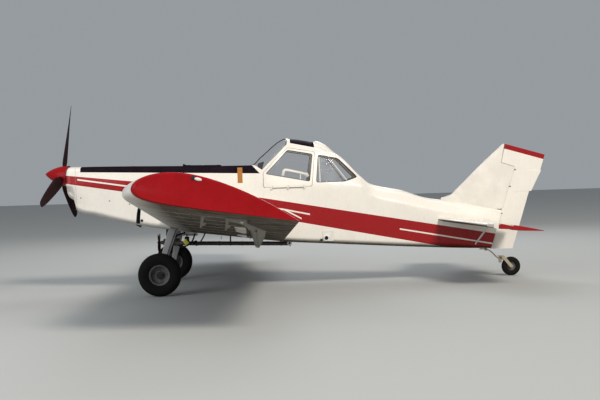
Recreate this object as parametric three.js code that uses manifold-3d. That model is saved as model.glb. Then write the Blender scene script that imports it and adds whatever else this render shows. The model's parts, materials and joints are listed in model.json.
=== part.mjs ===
// A single-seat light aircraft for farm work: low wing, tailwheel, hopper ahead of the cockpit.
// It stands as it parks, on its two main wheels and its tail wheel, so its nose points up.
// Millimetres. +X aft, +Y to starboard, +Z up. Stations (X) are counted from the spinner's tip,
// and the whole model is moved forward by half its length at the end.
import * as THREE from "three";
import { mergeVertices } from "three/addons/utils/BufferGeometryUtils.js";
import Module from "manifold-3d";

const wasm = await Module();
wasm.setup();

// Driving dimensions
const length = 8350;
const halfSpan = 5910;
const seat = 0.3; // gap between two pieces that touch
const running = 0.4; // radial gap at a pin
const seam = 6; // gap round a door, a lid or a control surface

const thrust = { tipZ: 1929, tilt: 6.4, toe: 5.8 }; // spinner tip's height, nose-up and side angles in degrees
const spinnerSize = { length: 384, radius: 170, hub: 300, plate: 163.6 };
const prop = { radius: 1170, shank: 34, rest: -6.4, blades: 3 };

const firewall = { x0: 1464, x1: 1474 };
const cowlEnd = firewall.x0 - seat;
const noseEnd = 3406;
const hatch = { x0: 2320, x1: 2880, w: 230 }; // hopper's filling hole in the deck
const lid = { x0: 2304, x1: 2896, w: 250, z0: 2011, thick: 12, axisX: 2288, axisZ: 2017 };
const gate = { x0: 2222, x1: 2472, w: 125, flange: 892, bottom: 868 };
const hopper = { top: 1940, x0: 1900, x1: 3330, w: 430, waistZ: 1450, neckZ: 990, neckEnd: 936, wall: 8 };
const cabin = { wall: 26, shelf: 1632, backX: 4640, rearX: 5185, floor: 900 };
const door = { axisY: 511, axisZ: 1600, pin: 5, barrel: 10 };

// Side-view outlines (x, z) of the cabin's openings
const doorOutline = [[3583, 1606], [3583, 1842], [3985, 2240], [4432, 2163], [4362, 1606]];
const doorWindow = [[3618, 1822], [3988, 2206], [4398, 2130], [4332, 1680]];
const windscreenOutline = [[3436, 1974], [3566, 1890], [3980, 2300], [4003, 2500], [3300, 2500], [3300, 2050]];
const rearWindow = [[4487, 2118], [4818, 2051], [5126, 1732], [4911, 1662], [4434, 1660]];
const skylight = { x0: 4060, x1: 4400, w: 225 };

const wing = { leX: 1955, leZ: 1136, root: 500, chord: 1957, incidence: 11.6, dihedral: 5.18, straight: 4820 };
const wingTip = { paint: 0.94, sweep: 174, raise: 0.25, thin: 0.1 }; // the red cap's start, the nose's sweep and rise, the rim
const foil = { thick: 0.185, camber: 0.045, peak: 0.4, edge: 3 };
const surfaceHinge = 0.74; // of the chord
const flap = { y0: 150, y1: 2350 }; // along the wing from its root
const aileron = { y0: 2400, y1: 4740 };

const rudderAxis = { x: 7385, z: 474, slope: 0.3402 };
const rudderNose = 34;
const tailPlane = { slope: 0.13, teX: 7704, teZ: 838, noseX: 6452, sweep: 0.295, tip: 1950, half: 38 };
const elevator = { root: 165, horn: 1765, hornX: 7032, up: 27, down: 20 };
const elevatorHinge = 7270;

const wheel = { x: 1959, y: 1378, tyreR: 326, axleR: 26 };
const tailWheel = { x: 7721, r: 158, w: 96, pivotX: 7540 };

// Stations of the fuselage's outer form, from the cowl's front to the sternpost.
// x, bottom, half-width below, half-width at the waist, waist height,
// half-width at the shoulder, shoulder height, top, squareness of the top
const stations = [
  [380, 1660, 150, 240, 1730, 215, 1780, 1810, 2],
  [388, 1600, 210, 300, 1730, 280, 1830, 1880, 2],
  [404, 1575, 260, 345, 1730, 325, 1900, 1975, 2.5],
  [430, 1538, 290, 365, 1730, 350, 1930, 2027, 3],
  [480, 1500, 300, 375, 1730, 365, 1930, 2029, 3.5],
  [505, 1482, 302, 376, 1730, 366, 1930, 2029, 3.5],
  [545, 1324, 306, 380, 1730, 369, 1929, 2028, 3.6],
  [876, 1223, 340, 410, 1730, 400, 1920, 2025, 4],
  [1462, 1073, 420, 480, 1700, 468, 1905, 2015, 4],
  [1936, 983, 450, 500, 1650, 485, 1895, 2007, 4],
  [3406, 779, 470, 500, 1650, 487, 1885, 1989, 4],
  [3563, 757, 470, 500, 1650, 488, 1856, 2108, 2.6],
  [4003, 704, 465, 500, 1640, 300, 2272, 2398, 2.3],
  [4411, 673, 455, 495, 1630, 300, 2195, 2338, 2.2],
  [4714, 651, 440, 480, 1620, 285, 2085, 2166, 2.4],
  [4830, 642, 430, 470, 1615, 270, 2045, 2112, 2.4],
  [5173, 616, 400, 435, 1590, 300, 1715, 1768, 2.4],
  [5354, 602, 380, 410, 1420, 300, 1560, 1620, 2.4],
  [5873, 563, 320, 345, 1280, 240, 1440, 1496, 2.4],
  [6292, 534, 265, 285, 1180, 180, 1300, 1357, 2.3],
  [6717, 505, 205, 215, 1090, 125, 1235, 1290, 2.3],
  [7250, 480, 120, 120, 980, 70, 1130, 1180, 2],
  [7620, 470, 60, 55, 900, 38, 1060, 1110, 2],
];

// Finishes
function finish(color, roughness, metalness = 0, opacity = 1) {
  return new THREE.MeshStandardMaterial({ color, roughness, metalness, opacity, transparent: opacity < 1 });
}
const paint = {
  white: finish(0xece7dc, 0.4),
  red: finish(0xa3141f, 0.35),
  black: finish(0x1b1820, 0.6),
  grey: finish(0x8d9096, 0.5, 0.4),
  dark: finish(0x2a2624, 0.6, 0.3),
  steel: finish(0x6f7276, 0.45, 0.8),
  rubber: finish(0x17171a, 0.9),
  cloth: finish(0x2f3034, 0.95),
  glass: finish(0xaab4b8, 0.1, 0, 0.4),
  blade: finish(0x2b1c1a, 0.5),
};

// Solids from three.js shapes

function solidOf(geometry) {
  const bare = geometry.clone();
  bare.deleteAttribute("normal");
  bare.deleteAttribute("uv");
  const merged = mergeVertices(bare, 1e-3);
  const vertProperties = new Float32Array(merged.attributes.position.array);
  const triVerts = new Uint32Array(merged.index.array);
  return new wasm.Manifold(new wasm.Mesh({ numProp: 3, vertProperties, triVerts }));
}

function geometryOf(solid) {
  const mesh = solid.getMesh();
  const geometry = new THREE.BufferGeometry();
  geometry.setAttribute("position", new THREE.BufferAttribute(new Float32Array(mesh.vertProperties), 3));
  geometry.setIndex(new THREE.BufferAttribute(new Uint32Array(mesh.triVerts), 1));
  geometry.computeVertexNormals();
  return geometry;
}

// The same solid on the other side of the aircraft
function mirrored(solid) {
  const geometry = geometryOf(solid);
  geometry.scale(1, -1, 1);
  const index = geometry.index.array;
  for (let i = 0; i < index.length; i += 3) {
    [index[i + 1], index[i + 2]] = [index[i + 2], index[i + 1]];
  }
  return solidOf(geometry);
}

function onSide(side, solid) {
  return side > 0 ? solid : mirrored(solid);
}

function box(x0, x1, y0, y1, z0, z1) {
  const geometry = new THREE.BoxGeometry(x1 - x0, y1 - y0, z1 - z0);
  geometry.translate((x0 + x1) / 2, (y0 + y1) / 2, (z0 + z1) / 2);
  return solidOf(geometry);
}

// A round bar or cone from point a to point b
function rod(a, b, radius, sides = 12, endRadius = radius) {
  const from = new THREE.Vector3(...a);
  const to = new THREE.Vector3(...b);
  const along = to.clone().sub(from);
  const geometry = new THREE.CylinderGeometry(endRadius, radius, along.length(), sides);
  geometry.translate(0, along.length() / 2, 0);
  const turn = new THREE.Quaternion().setFromUnitVectors(new THREE.Vector3(0, 1, 0), along.normalize());
  geometry.applyQuaternion(turn);
  geometry.translate(...a);
  return solidOf(geometry);
}

function outline(points) {
  return new THREE.Shape(points.map(([u, v]) => new THREE.Vector2(u, v)));
}

function extruded(shape, depth) {
  return new THREE.ExtrudeGeometry(shape, { depth, bevelEnabled: false, curveSegments: 8 });
}

// A side-view outline (x, z) carried across from y0 to y1
function sidePrism(points, y0, y1) {
  const geometry = extruded(outline(points), y1 - y0);
  geometry.rotateX(Math.PI / 2);
  geometry.translate(0, y1, 0);
  return solidOf(geometry);
}

// A profile (radius, height) turned about the Y axis through a point
function turnedY(profile, centre, sides = 24) {
  const geometry = new THREE.LatheGeometry(profile.map(([r, h]) => new THREE.Vector2(r, h)), sides);
  geometry.translate(...centre);
  return solidOf(oriented(geometry));
}

// A round tube or pipe along a path
function pipe(points, radius, sides = 8, steps = 12) {
  const path = new THREE.CatmullRomCurve3(points.map((p) => new THREE.Vector3(...p)));
  const ring = [];
  for (let i = 0; i < sides; i += 1) {
    const angle = (2 * Math.PI * i) / sides;
    ring.push([radius * Math.cos(angle), radius * Math.sin(angle)]);
  }
  const geometry = new THREE.ExtrudeGeometry(outline(ring), { steps, extrudePath: path });
  return solidOf(oriented(geometry));
}

function volumeOf(geometry) {
  const p = geometry.attributes.position;
  const index = geometry.index;
  const count = index ? index.count : p.count;
  const corner = (i) => new THREE.Vector3().fromBufferAttribute(p, index ? index.getX(i) : i);
  let sum = 0;
  for (let i = 0; i < count; i += 3) {
    sum += corner(i).dot(corner(i + 1).cross(corner(i + 2)));
  }
  return sum / 6;
}

// The geometry with its faces turned outwards
function oriented(geometry) {
  const bare = geometry.clone();
  bare.deleteAttribute("normal");
  bare.deleteAttribute("uv");
  const merged = mergeVertices(bare, 1e-3);
  if (volumeOf(merged) < 0) {
    const index = merged.index.array;
    for (let i = 0; i < index.length; i += 3) {
      [index[i + 1], index[i + 2]] = [index[i + 2], index[i + 1]];
    }
  }
  return merged;
}

// A closed solid through rings of equally many points; each end ring is flat.
// The faces to port are split the other way, so that both sides match.
function loft(rings) {
  const size = rings[0].length;
  const position = rings.flat().flat();
  const index = [];
  for (let r = 0; r < rings.length - 1; r += 1) {
    for (let i = 0; i < size; i += 1) {
      const a = r * size + i;
      const b = r * size + ((i + 1) % size);
      const port = rings[r][i][1] + rings[r][(i + 1) % size][1] < 0;
      index.push(...(port ? [a, b, a + size, b, b + size, a + size] : [a, b, b + size, a, b + size, a + size]));
    }
  }
  const capped = [0, rings.length - 1];
  for (const r of capped) {
    const flat = flattened(rings[r]);
    for (const [a, b, c] of THREE.ShapeUtils.triangulateShape(flat, [])) {
      const base = r * size;
      index.push(...(r === 0 ? [base + a, base + c, base + b] : [base + a, base + b, base + c]));
    }
  }
  const geometry = new THREE.BufferGeometry();
  geometry.setAttribute("position", new THREE.Float32BufferAttribute(position, 3));
  geometry.setIndex(index);
  return solidOf(oriented(geometry));
}

// The ring's points in its own plane, in an order that keeps the cap's faces on the ring's side
function flattened(ring) {
  const points = ring.map((p) => new THREE.Vector3(...p));
  const normal = new THREE.Vector3();
  points.forEach((p, i) => {
    const q = points[(i + 1) % points.length];
    normal.add(p.clone().cross(q));
  });
  normal.normalize();
  const helper = Math.abs(normal.x) < 0.8 ? new THREE.Vector3(1, 0, 0) : new THREE.Vector3(0, 1, 0);
  const u = helper.cross(normal).normalize();
  const v = normal.clone().cross(u);
  return points.map((p) => new THREE.Vector2(p.dot(u), p.dot(v)));
}

// Fuselage form

function radians(degrees) {
  return (degrees * Math.PI) / 180;
}

// One fuselage section, drawn in by a wall's thickness
function bodyRing(station, wall) {
  const [x, bottom, low, waist, waistZ, shoulder, shoulderZ, top, square] = station;
  const corner = Math.min(100, low * 0.5);
  const half = [];
  for (let i = 0; i <= 4; i += 1) {
    const angle = radians(-90 + 22.5 * i);
    const y = low - corner + corner * Math.cos(angle);
    const z = bottom + corner + corner * Math.sin(angle);
    half.push([y - wall * Math.cos(angle), z - wall * Math.sin(angle)]);
  }
  half.push([waist - wall, waistZ]);
  for (let i = 0; i <= 5; i += 1) {
    const angle = radians(18 * i);
    const y = (shoulder - wall) * Math.abs(Math.cos(angle)) ** (2 / square);
    const rise = top - wall - shoulderZ;
    const z = shoulderZ + rise * Math.sin(angle) ** (2 / square);
    half.push([i === 5 ? 0 : y, z]);
  }
  const right = half.map(([y, z]) => [x, y, z]);
  const left = half.slice(0, -1).reverse().map(([y, z]) => [x, -y, z]);
  return [...right, ...left];
}

function stationAt(x) {
  const next = stations.findIndex((s) => s[0] > x);
  if (next <= 0) {
    return stations[next === 0 ? 0 : stations.length - 1];
  }
  const [a, b] = [stations[next - 1], stations[next]];
  const t = (x - a[0]) / (b[0] - a[0]);
  return a.map((value, i) => value + (b[i] - value) * t);
}

// The fuselage's form from x0 to x1, drawn in by a wall's thickness
function bodyForm(wall = 0, x0 = stations[0][0], x1 = stations.at(-1)[0]) {
  const inside = stations.filter((s) => s[0] > x0 + 1 && s[0] < x1 - 1);
  const used = [stationAt(x0), ...inside, stationAt(x1)];
  return loft(used.map((s) => bodyRing(s, wall)));
}

// Airfoil

// Points of the wing's section from the trailing edge over the top to the nose and back below
function foilPoints(chord, from = 0, count = 12) {
  const at = (t) => from + (1 - from) * (1 - Math.cos(Math.PI * t)) * 0.5;
  const shares = Array.from({ length: count + 1 }, (_, i) => at(i / count));
  const upper = shares.map((s) => [s * chord, surfaceZ(s, 1) * chord]);
  const lower = shares.map((s) => [s * chord, surfaceZ(s, -1) * chord]);
  return from === 0 ? [...upper.reverse(), ...lower.slice(1)] : [...upper.reverse(), ...lower];
}

// Height of the section's upper (1) or lower (-1) surface at a share of the chord
function surfaceZ(s, side) {
  const root = 0.2969 * Math.sqrt(s) - 0.126 * s - 0.3516 * s ** 2 + 0.2843 * s ** 3 - 0.1036 * s ** 4;
  const half = 5 * foil.thick * root + (foil.edge / wing.chord) * s;
  const { camber: m, peak: p } = foil;
  const ahead = (m / p ** 2) * (2 * p * s - s ** 2);
  const behind = (m / (1 - p) ** 2) * (1 - 2 * p + 2 * p * s - s ** 2);
  return (s < p ? ahead : behind) + side * half;
}

// Outlines and paths used by several pieces

// The outline moved in (or out, where by is negative) on every side
function inset(points, by) {
  const turn = THREE.ShapeUtils.area(points.map(([u, v]) => new THREE.Vector2(u, v))) > 0 ? 1 : -1;
  const count = points.length;
  return points.map((p, i) => {
    const before = points[(i + count - 1) % count];
    const after = points[(i + 1) % count];
    const a = unit(p[0] - before[0], p[1] - before[1]);
    const b = unit(after[0] - p[0], after[1] - p[1]);
    const na = [-a[1] * turn, a[0] * turn];
    const nb = [-b[1] * turn, b[0] * turn];
    const share = by / (1 + na[0] * nb[0] + na[1] * nb[1]);
    return [p[0] + (na[0] + nb[0]) * share, p[1] + (na[1] + nb[1]) * share];
  });
}

function unit(u, v) {
  const size = Math.hypot(u, v);
  return [u / size, v / size];
}

// A front-view outline (y, z) carried aft from x0 to x1
function frontPrism(points, x0, x1) {
  const geometry = extruded(outline(points), x1 - x0);
  const turn = new THREE.Matrix4().set(0, 0, 1, x0, 1, 0, 0, 0, 0, 1, 0, 0, 0, 0, 0, 1);
  geometry.applyMatrix4(turn);
  return solidOf(geometry);
}

// The outline of a strip of even thickness along a bent line
function ribbon(points, thick) {
  const sides = [[], []];
  points.forEach((p, i) => {
    const before = points[Math.max(i - 1, 0)];
    const after = points[Math.min(i + 1, points.length - 1)];
    const [u, v] = unit(after[0] - before[0], after[1] - before[1]);
    sides[0].push([p[0] - (v * thick) / 2, p[1] + (u * thick) / 2]);
    sides[1].push([p[0] + (v * thick) / 2, p[1] - (u * thick) / 2]);
  });
  return [...sides[0], ...sides[1].reverse()];
}

// Points on a circle's arc in (u, v), from one angle to another in degrees
function arc(u, v, radius, from, to, steps = 10) {
  return Array.from({ length: steps + 1 }, (_, i) => {
    const angle = radians(from + ((to - from) * i) / steps);
    return [u + radius * Math.cos(angle), v + radius * Math.sin(angle)];
  });
}

const parts = new THREE.Group();
parts.position.x = -length / 2;

function part(name, solid, material, group = parts) {
  const mesh = new THREE.Mesh(geometryOf(solid), material);
  mesh.name = name;
  group.add(mesh);
  return mesh;
}

function sideName(name, side) {
  return `${name}_${side > 0 ? "right" : "left"}`;
}

function group(parent, position, rotation = [0, 0, 0], order = "XYZ") {
  const made = new THREE.Group();
  made.position.set(...position);
  made.rotation.set(...rotation.map(radians), order);
  parent.add(made);
  return made;
}

// Nose: cowl, engine, firewall and the hopper bay

const hub = [spinnerSize.hub, 0, thrust.tipZ - spinnerSize.hub * Math.tan(radians(thrust.tilt))];
const thrustAft = new THREE.Vector3(1, 0, 0)
  .applyEuler(new THREE.Euler(0, radians(thrust.tilt), radians(-thrust.toe), "ZYX"));

// A point on the thrust line, so far aft of the propeller's hub
function thrustPoint(s) {
  return [hub[0] + thrustAft.x * s, hub[1] + thrustAft.y * s, hub[2] + thrustAft.z * s];
}

function makeCowl() {
  const inner = bodyForm(12, 416, cowlEnd + 50);
  const spinnerBay = rod(thrustPoint(-200), thrustPoint(112), spinnerSize.radius + 16, 20);
  const shaftHole = rod(thrustPoint(0), thrustPoint(330), 75, 16);
  let cowl = bodyForm(0, stations[0][0], cowlEnd).subtract(inner).subtract(spinnerBay).subtract(shaftHole);
  for (const side of [-1, 1]) {
    cowl = cowl.subtract(rod([250, side * 262, 1790], [520, side * 255, 1780], 58, 16));
  }
  return cowl;
}

function makeEngine() {
  const block = box(640, 1400, -230, 230, 1450, 1850);
  const shaft = rod(thrustPoint(105), thrustPoint(420), 52, 16);
  const spigot = rod(thrustPoint(50), thrustPoint(110), 18.9, 12);
  const mount = box(1390, firewall.x0 - seat, -180, 180, 1480, 1820);
  return block.add(shaft).add(spigot).add(mount);
}

function makeHopperBay() {
  const skin = bodyForm(0, firewall.x1 + seat, noseEnd).subtract(bodyForm(14, 1440, noseEnd + 30));
  const hole = box(hatch.x0, hatch.x1, -hatch.w, hatch.w, 1850, 2100);
  const outlet = box(gate.x0, gate.x1, -gate.w, gate.w, 700, 1050);
  let bay = skin.subtract(hole).subtract(outlet);
  for (const y of [-200, 0, 200]) {
    bay = bay.add(box(lid.axisX - 12, lid.axisX + 12, y - 12, y + 12, 1990, lid.axisZ + 9));
  }
  return bay.add(rod([lid.axisX, -206, lid.axisZ], [lid.axisX, 206, lid.axisZ], 5, 10));
}

function makeLid() {
  const plate = box(lid.x0, lid.x1, -lid.w, lid.w, lid.z0, lid.z0 + lid.thick);
  let made = plate;
  for (const y of [-160, 40]) {
    const from = [lid.axisX, y, lid.axisZ];
    const to = [lid.axisX, y + 120, lid.axisZ];
    const strap = box(lid.axisX, lid.x0 + 20, y, y + 120, lid.axisZ - 4, lid.axisZ + 5);
    made = made.add(rod(from, to, 10, 16)).add(strap);
  }
  return made.subtract(rod([lid.axisX, -300, lid.axisZ], [lid.axisX, 300, lid.axisZ], 5.6, 10));
}

function makeHopper() {
  const ring = (x0, x1, w, z) => [[x0, -w, z], [x1, -w, z], [x1, w, z], [x0, w, z]];
  const neck = (t, z) => ring(gate.x0 + 6 + t, gate.x1 - 6 - t, gate.w - 6 - t, z);
  const tank = (t) => ring(hopper.x0 + t, hopper.x1 - t, hopper.w - t, hopper.waistZ);
  const mouth = (t) => ring(hopper.x0 + t, hopper.x1 - t, hopper.w - t, hopper.top + t * 3);
  const form = (t) => loft([mouth(t), tank(t), neck(t, hopper.neckZ), neck(t, hopper.neckEnd - t * 3)]);
  return form(0).subtract(form(hopper.wall));
}

// The outlet box below the hopper, with a collar up to the belly; its own door swings down at the back
function makeGateBox() {
  const top = hopper.neckEnd - seat;
  const outer = box(gate.x0 + 6, gate.x1 - 6, 6 - gate.w, gate.w - 6, gate.bottom, top);
  const inner = box(gate.x0 + 14, gate.x1 - 14, 14 - gate.w, gate.w - 14, gate.bottom - 20, top + 20);
  const flange = box(gate.x0 - 14, gate.x1 + 24, -gate.w - 16, gate.w + 16, gate.flange, top);
  let made = outer.add(flange.subtract(inner)).subtract(inner).subtract(bodyForm(-seat, 2000, 2700));
  const z = gate.bottom - 16;
  for (const y of [-70, 70]) {
    made = made.add(box(gate.x0 + 6, gate.x0 + 22, y - 8, y + 8, z - 8, gate.bottom + 10));
  }
  return made.add(rod([gate.x0 + 14, -78, z], [gate.x0 + 14, 78, z], 5, 10));
}

function makeGateDoor() {
  const z = gate.bottom - 16;
  const plate = box(gate.x0 + 26, gate.x1, 6 - gate.w, gate.w - 6, z + 1, z + 9);
  const barrel = rod([gate.x0 + 14, -56, z], [gate.x0 + 14, 56, z], 10, 16);
  const strap = box(gate.x0 + 14, gate.x0 + 40, -56, 56, z + 1, z + 9);
  const bore = rod([gate.x0 + 14, -90, z], [gate.x0 + 14, 90, z], 5.6, 10);
  return plate.add(barrel).add(strap).subtract(bore);
}

part("cowl", makeCowl(), paint.white);
part("engine_block", makeEngine(), paint.dark);
part("firewall", bodyForm(0, firewall.x0, firewall.x1), paint.steel);
part("hopper_bay", makeHopperBay(), paint.white);
part("hopper_lid", makeLid(), paint.black);
part("hopper_tank", makeHopper(), paint.grey);
part("gate_box", makeGateBox(), paint.grey);
part("gate_door", makeGateDoor(), paint.grey);

// Propeller and spinner, drawn along the thrust line from the hub

const nose = group(parts, hub, [0, thrust.tilt, -thrust.toe], "ZYX");

function makeSpinner() {
  const tip = spinnerSize.hub / Math.cos(radians(thrust.tilt));
  const base = spinnerSize.length / Math.cos(radians(thrust.tilt)) - tip;
  const shape = (wall) => {
    const profile = [[0, -tip + wall]];
    for (const u of [0.02, 0.07, 0.16, 0.3, 0.5, 0.74, 0.955, 1]) {
      const r = spinnerSize.radius * (1 - (1 - u) ** 1.6) ** 0.92 - wall;
      profile.push([Math.max(r, 1), -tip + wall + (tip + base - wall + wall) * u]);
    }
    profile.push([0, base]);
    return turnedX(profile, 20);
  };
  let made = shape(0).subtract(shape(5));
  for (const direction of bladeDirections()) {
    const from = direction.clone().multiplyScalar(40).toArray();
    const to = direction.clone().multiplyScalar(260).toArray();
    made = made.subtract(rod(from, to, prop.shank + 12, 10));
  }
  return made;
}

// A profile (radius, distance) turned about the X axis
function turnedX(profile, sides = 24) {
  const geometry = new THREE.LatheGeometry(profile.map(([r, h]) => new THREE.Vector2(r, h)), sides);
  geometry.rotateZ(-Math.PI / 2);
  return solidOf(oriented(geometry));
}

function bladeAngles() {
  return Array.from({ length: prop.blades }, (_, i) => radians(prop.rest + (360 / prop.blades) * i));
}

function bladeDirections() {
  return bladeAngles().map((angle) => new THREE.Vector3(0, -Math.sin(angle), Math.cos(angle)));
}

// Blade sections: share of the radius, chord, thickness, pitch angle
const bladeTable = [
  [0.03, 62, 62, 50],
  [0.16, 64, 60, 48],
  [0.22, 110, 44, 44],
  [0.32, 158, 30, 38],
  [0.5, 176, 22, 31],
  [0.7, 160, 16, 25],
  [0.88, 128, 11, 21],
  [0.97, 92, 8, 19],
  [1.0, 50, 6, 18],
];

function makeBlade(angle) {
  const out = new THREE.Vector3(0, -Math.sin(angle), Math.cos(angle));
  const ahead = new THREE.Vector3(0, Math.cos(angle), Math.sin(angle));
  const forward = new THREE.Vector3(-1, 0, 0);
  const rings = bladeTable.map(([share, chord, thick, pitch]) => {
    const along = ahead.clone().multiplyScalar(Math.cos(radians(pitch)))
      .add(forward.clone().multiplyScalar(Math.sin(radians(pitch))));
    const across = along.clone().cross(out);
    return arc(0, 0, 0.5, 0, 315, 7).map(([u, v]) => out.clone().multiplyScalar(share * prop.radius)
      .add(along.clone().multiplyScalar(u * chord))
      .add(across.clone().multiplyScalar(v * thick))
      .toArray());
  });
  return loft(rings);
}

function makePropeller() {
  let made = rod([-70, 0, 0], [84, 0, 0], 70, 16);
  made = made.add(rod([72, 0, 0], [82, 0, 0], spinnerSize.plate, 20));
  for (const angle of bladeAngles()) {
    made = made.add(makeBlade(angle));
  }
  return made.subtract(rod([40, 0, 0], [120, 0, 0], 20, 12));
}

part("spinner", makeSpinner(), paint.red, nose);
part("propeller", makePropeller(), paint.blade, nose);

// Cabin: shell, glass, doors and what shows inside

function cabinSkin(depth, wall) {
  const outer = bodyForm(depth, noseEnd + seat, cabin.rearX);
  return outer.subtract(bodyForm(wall, noseEnd + seat + wall, cabin.rearX - wall));
}

function makeCabinShell() {
  let shell = cabinSkin(0, cabin.wall);
  shell = shell.subtract(box(cabin.backX, cabin.rearX + 50, -600, 600, 400, cabin.shelf + seat));
  shell = shell.subtract(box(cabin.backX - 40, cabin.backX + 40, -430, 430, 700, cabin.shelf));
  shell = shell.subtract(sidePrism(windscreenOutline, -600, 600));
  shell = shell.subtract(sidePrism(inset(doorOutline, -seam), 0, 600));
  shell = shell.subtract(sidePrism(inset(doorOutline, -seam), -600, 0));
  shell = shell.subtract(sidePrism(rearWindow, -600, 600));
  shell = shell.subtract(box(skylight.x0, skylight.x1, -skylight.w, skylight.w, 2250, 2500));
  for (const side of [-1, 1]) {
    shell = shell.add(onSide(side, doorHingePin()));
  }
  return shell;
}

const doorLugs = [3700, 3965, 4230];

function doorHingePin() {
  const axis = [door.axisY, door.axisZ];
  let made = rod([doorLugs[0], ...axis], [doorLugs[2] + 20, ...axis], door.pin, 10);
  for (const x of doorLugs) {
    made = made.add(box(x, x + 20, 485, door.axisY + 8, door.axisZ - 34, door.axisZ + 5));
  }
  return made;
}

function makeDoor() {
  let made = cabinSkin(0, cabin.wall).intersect(sidePrism(doorOutline, 0, 600));
  made = made.subtract(sidePrism(doorWindow, 0, 600));
  const axis = [door.axisY, door.axisZ];
  for (const x of [3728, 3993]) {
    const barrel = rod([x, ...axis], [x + 229, ...axis], door.barrel, 16);
    const strap = box(x, x + 229, 490, door.axisY + 6, door.axisZ + 6, door.axisZ + 40);
    made = made.add(barrel).add(strap);
  }
  return made.subtract(rod([3600, ...axis], [4300, ...axis], door.pin + 0.6, 10));
}

// A pane in an opening, set a little below the skin
function pane(points, y0, y1) {
  return cabinSkin(3, 11).intersect(sidePrism(inset(points, seat), y0, y1));
}

function makeSkylight() {
  const { x0, x1, w } = skylight;
  return cabinSkin(3, 11).intersect(box(x0 + seat, x1 - seat, seat - w, w - seat, 2250, 2500));
}

function makePanel() {
  const face = [[3585, 1560], [3600, 1560], [3622, 1800], [3640, 1812], [3560, 1826], [3560, 1810], [3600, 1800]];
  const board = sidePrism(face, -500, 500).intersect(bodyForm(cabin.wall + seat, 3440, 4400));
  return board.subtract(sidePrism(inset(doorOutline, -seam - 2), -600, 600).intersect(doorSides()));
}

// The space that the doors' own walls fill
function doorSides() {
  const x1 = 4500;
  return bodyForm(0, 3500, x1).subtract(bodyForm(cabin.wall + 4, 3490, x1 + 10));
}

// The front face of the seat's back plate
function seatBackX(z) {
  return 4318 + (z - 1216) * 0.2032;
}

function makeSeatBack() {
  const at = (z, ahead) => [seatBackX(z) - ahead, z];
  return sidePrism([at(1296, seat), at(1838, seat), at(1850, 65), at(1310, 60)], -215, 215);
}

function makeSeatFrame() {
  const z = cabin.floor + 12 + seat;
  const pan = box(3930, 4334, -225, 225, 1200, 1216);
  const back = sidePrism([[4318, 1216], [4334, 1200], [4462, 1842], [seatBackX(1846), 1846]], -225, 225);
  let made = pan.add(back);
  for (const y of [-215, 195]) {
    made = made.add(sidePrism([[3980, z], [4300, z], [4320, 1205], [3940, 1205]], y, y + 20));
  }
  return made;
}

function makeStick() {
  const foot = [3790, 0, cabin.floor + 12 + seat];
  const top = [3850, 0, 1400];
  const grip = rod(top, [3862, 0, 1520], 19, 10);
  return rod([foot[0], 0, foot[2] + 20], top, 12, 10).add(grip).add(rod(foot, [3790, 0, foot[2] + 40], 40, 12));
}

// The white tube frame behind the seat, with its braces to the shelf
function makeRollFrame() {
  const x = 4500;
  const floor = cabin.floor + 12 + seat;
  const z = cabin.shelf + seat;
  let made = rod([x, -236, 2140], [x, 236, 2140], 15, 8);
  for (const side of [-1, 1]) {
    const foot = [x, side * 402, floor];
    const knee = [x, side * 440, 1640];
    const head = [x, side * 240, 2140];
    made = made.add(rod([x, foot[1], floor + 3], knee, 15, 8)).add(rod(knee, head, 15, 8));
    made = made.add(rod(head, [4745, side * 390, z], 13, 8));
    made = made.add(box(x - 20, x + 20, side * 396 - 12, side * 396 + 12, floor, floor + 8));
  }
  return made.subtract(box(4600, 5000, -600, 600, 1400, z));
}

part("cabin_shell", makeCabinShell(), paint.white);
part("cabin_floor", box(3440, 4599, -412, 412, cabin.floor, cabin.floor + 12), paint.grey);
part("windscreen", pane(windscreenOutline, -600, 600), paint.glass);
part("skylight", makeSkylight(), paint.glass);
for (const side of [-1, 1]) {
  part(sideName("door", side), onSide(side, makeDoor()), paint.white);
  part(sideName("door_glass", side), onSide(side, pane(doorWindow, 0, 600)), paint.glass);
  part(sideName("rear_window", side), onSide(side, pane(rearWindow, 0, 600)), paint.glass);
}
part("instrument_panel", makePanel(), paint.black);
part("seat_frame", makeSeatFrame(), paint.grey);
part("seat_cushion", box(3940, 4312, -215, 215, 1216.3, 1290), paint.cloth);
part("seat_back", makeSeatBack(), paint.cloth);
part("control_stick", makeStick(), paint.dark);
part("roll_frame", makeRollFrame(), paint.white);

// Tail cone, fin and rudder

function rudderX(z) {
  return rudderAxis.x + (z - rudderAxis.z) * rudderAxis.slope;
}

// A cylinder about the rudder's hinge line
function rudderRod(z0, z1, radius, sides = 14) {
  return rod([rudderX(z0), 0, z0], [rudderX(z1), 0, z1], radius, sides);
}

// Everything aft of a line beside the hinge line
function aftOfHinge(ahead, z0 = 200, z1 = 2600) {
  return sidePrism([[rudderX(z0) - ahead, z0], [9200, z0], [9200, z1], [rudderX(z1) - ahead, z1]], -300, 300);
}

const tailSpindle = { x: elevatorHinge, z: tailPlane.teZ + (tailPlane.teX - elevatorHinge) * tailPlane.slope };

function makeTailCone() {
  let cone = bodyForm(0, cabin.backX + seat, stations.at(-1)[0]);
  cone = cone.subtract(box(4500, cabin.rearX + seat, -600, 600, cabin.shelf, 2600));
  cone = cone.subtract(aftOfHinge(rudderNose * 0.5));
  cone = cone.subtract(rudderRod(380, 1300, rudderNose + 8));
  const { x, z } = tailSpindle;
  cone = cone.subtract(rod([x, -300, z], [x, 300, z], 26, 16));
  return cone.add(rudderPin(560)).add(rudderPin(1050));
}

// A hinge bracket and pin that hold the rudder at one height
function rudderPin(z) {
  const x = rudderX(z);
  const bracket = box(x - 60, x + 7, -7, 7, z - 5, z + 5);
  return bracket.add(rudderRod(z - 24, z + 24, 5, 10));
}

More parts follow.
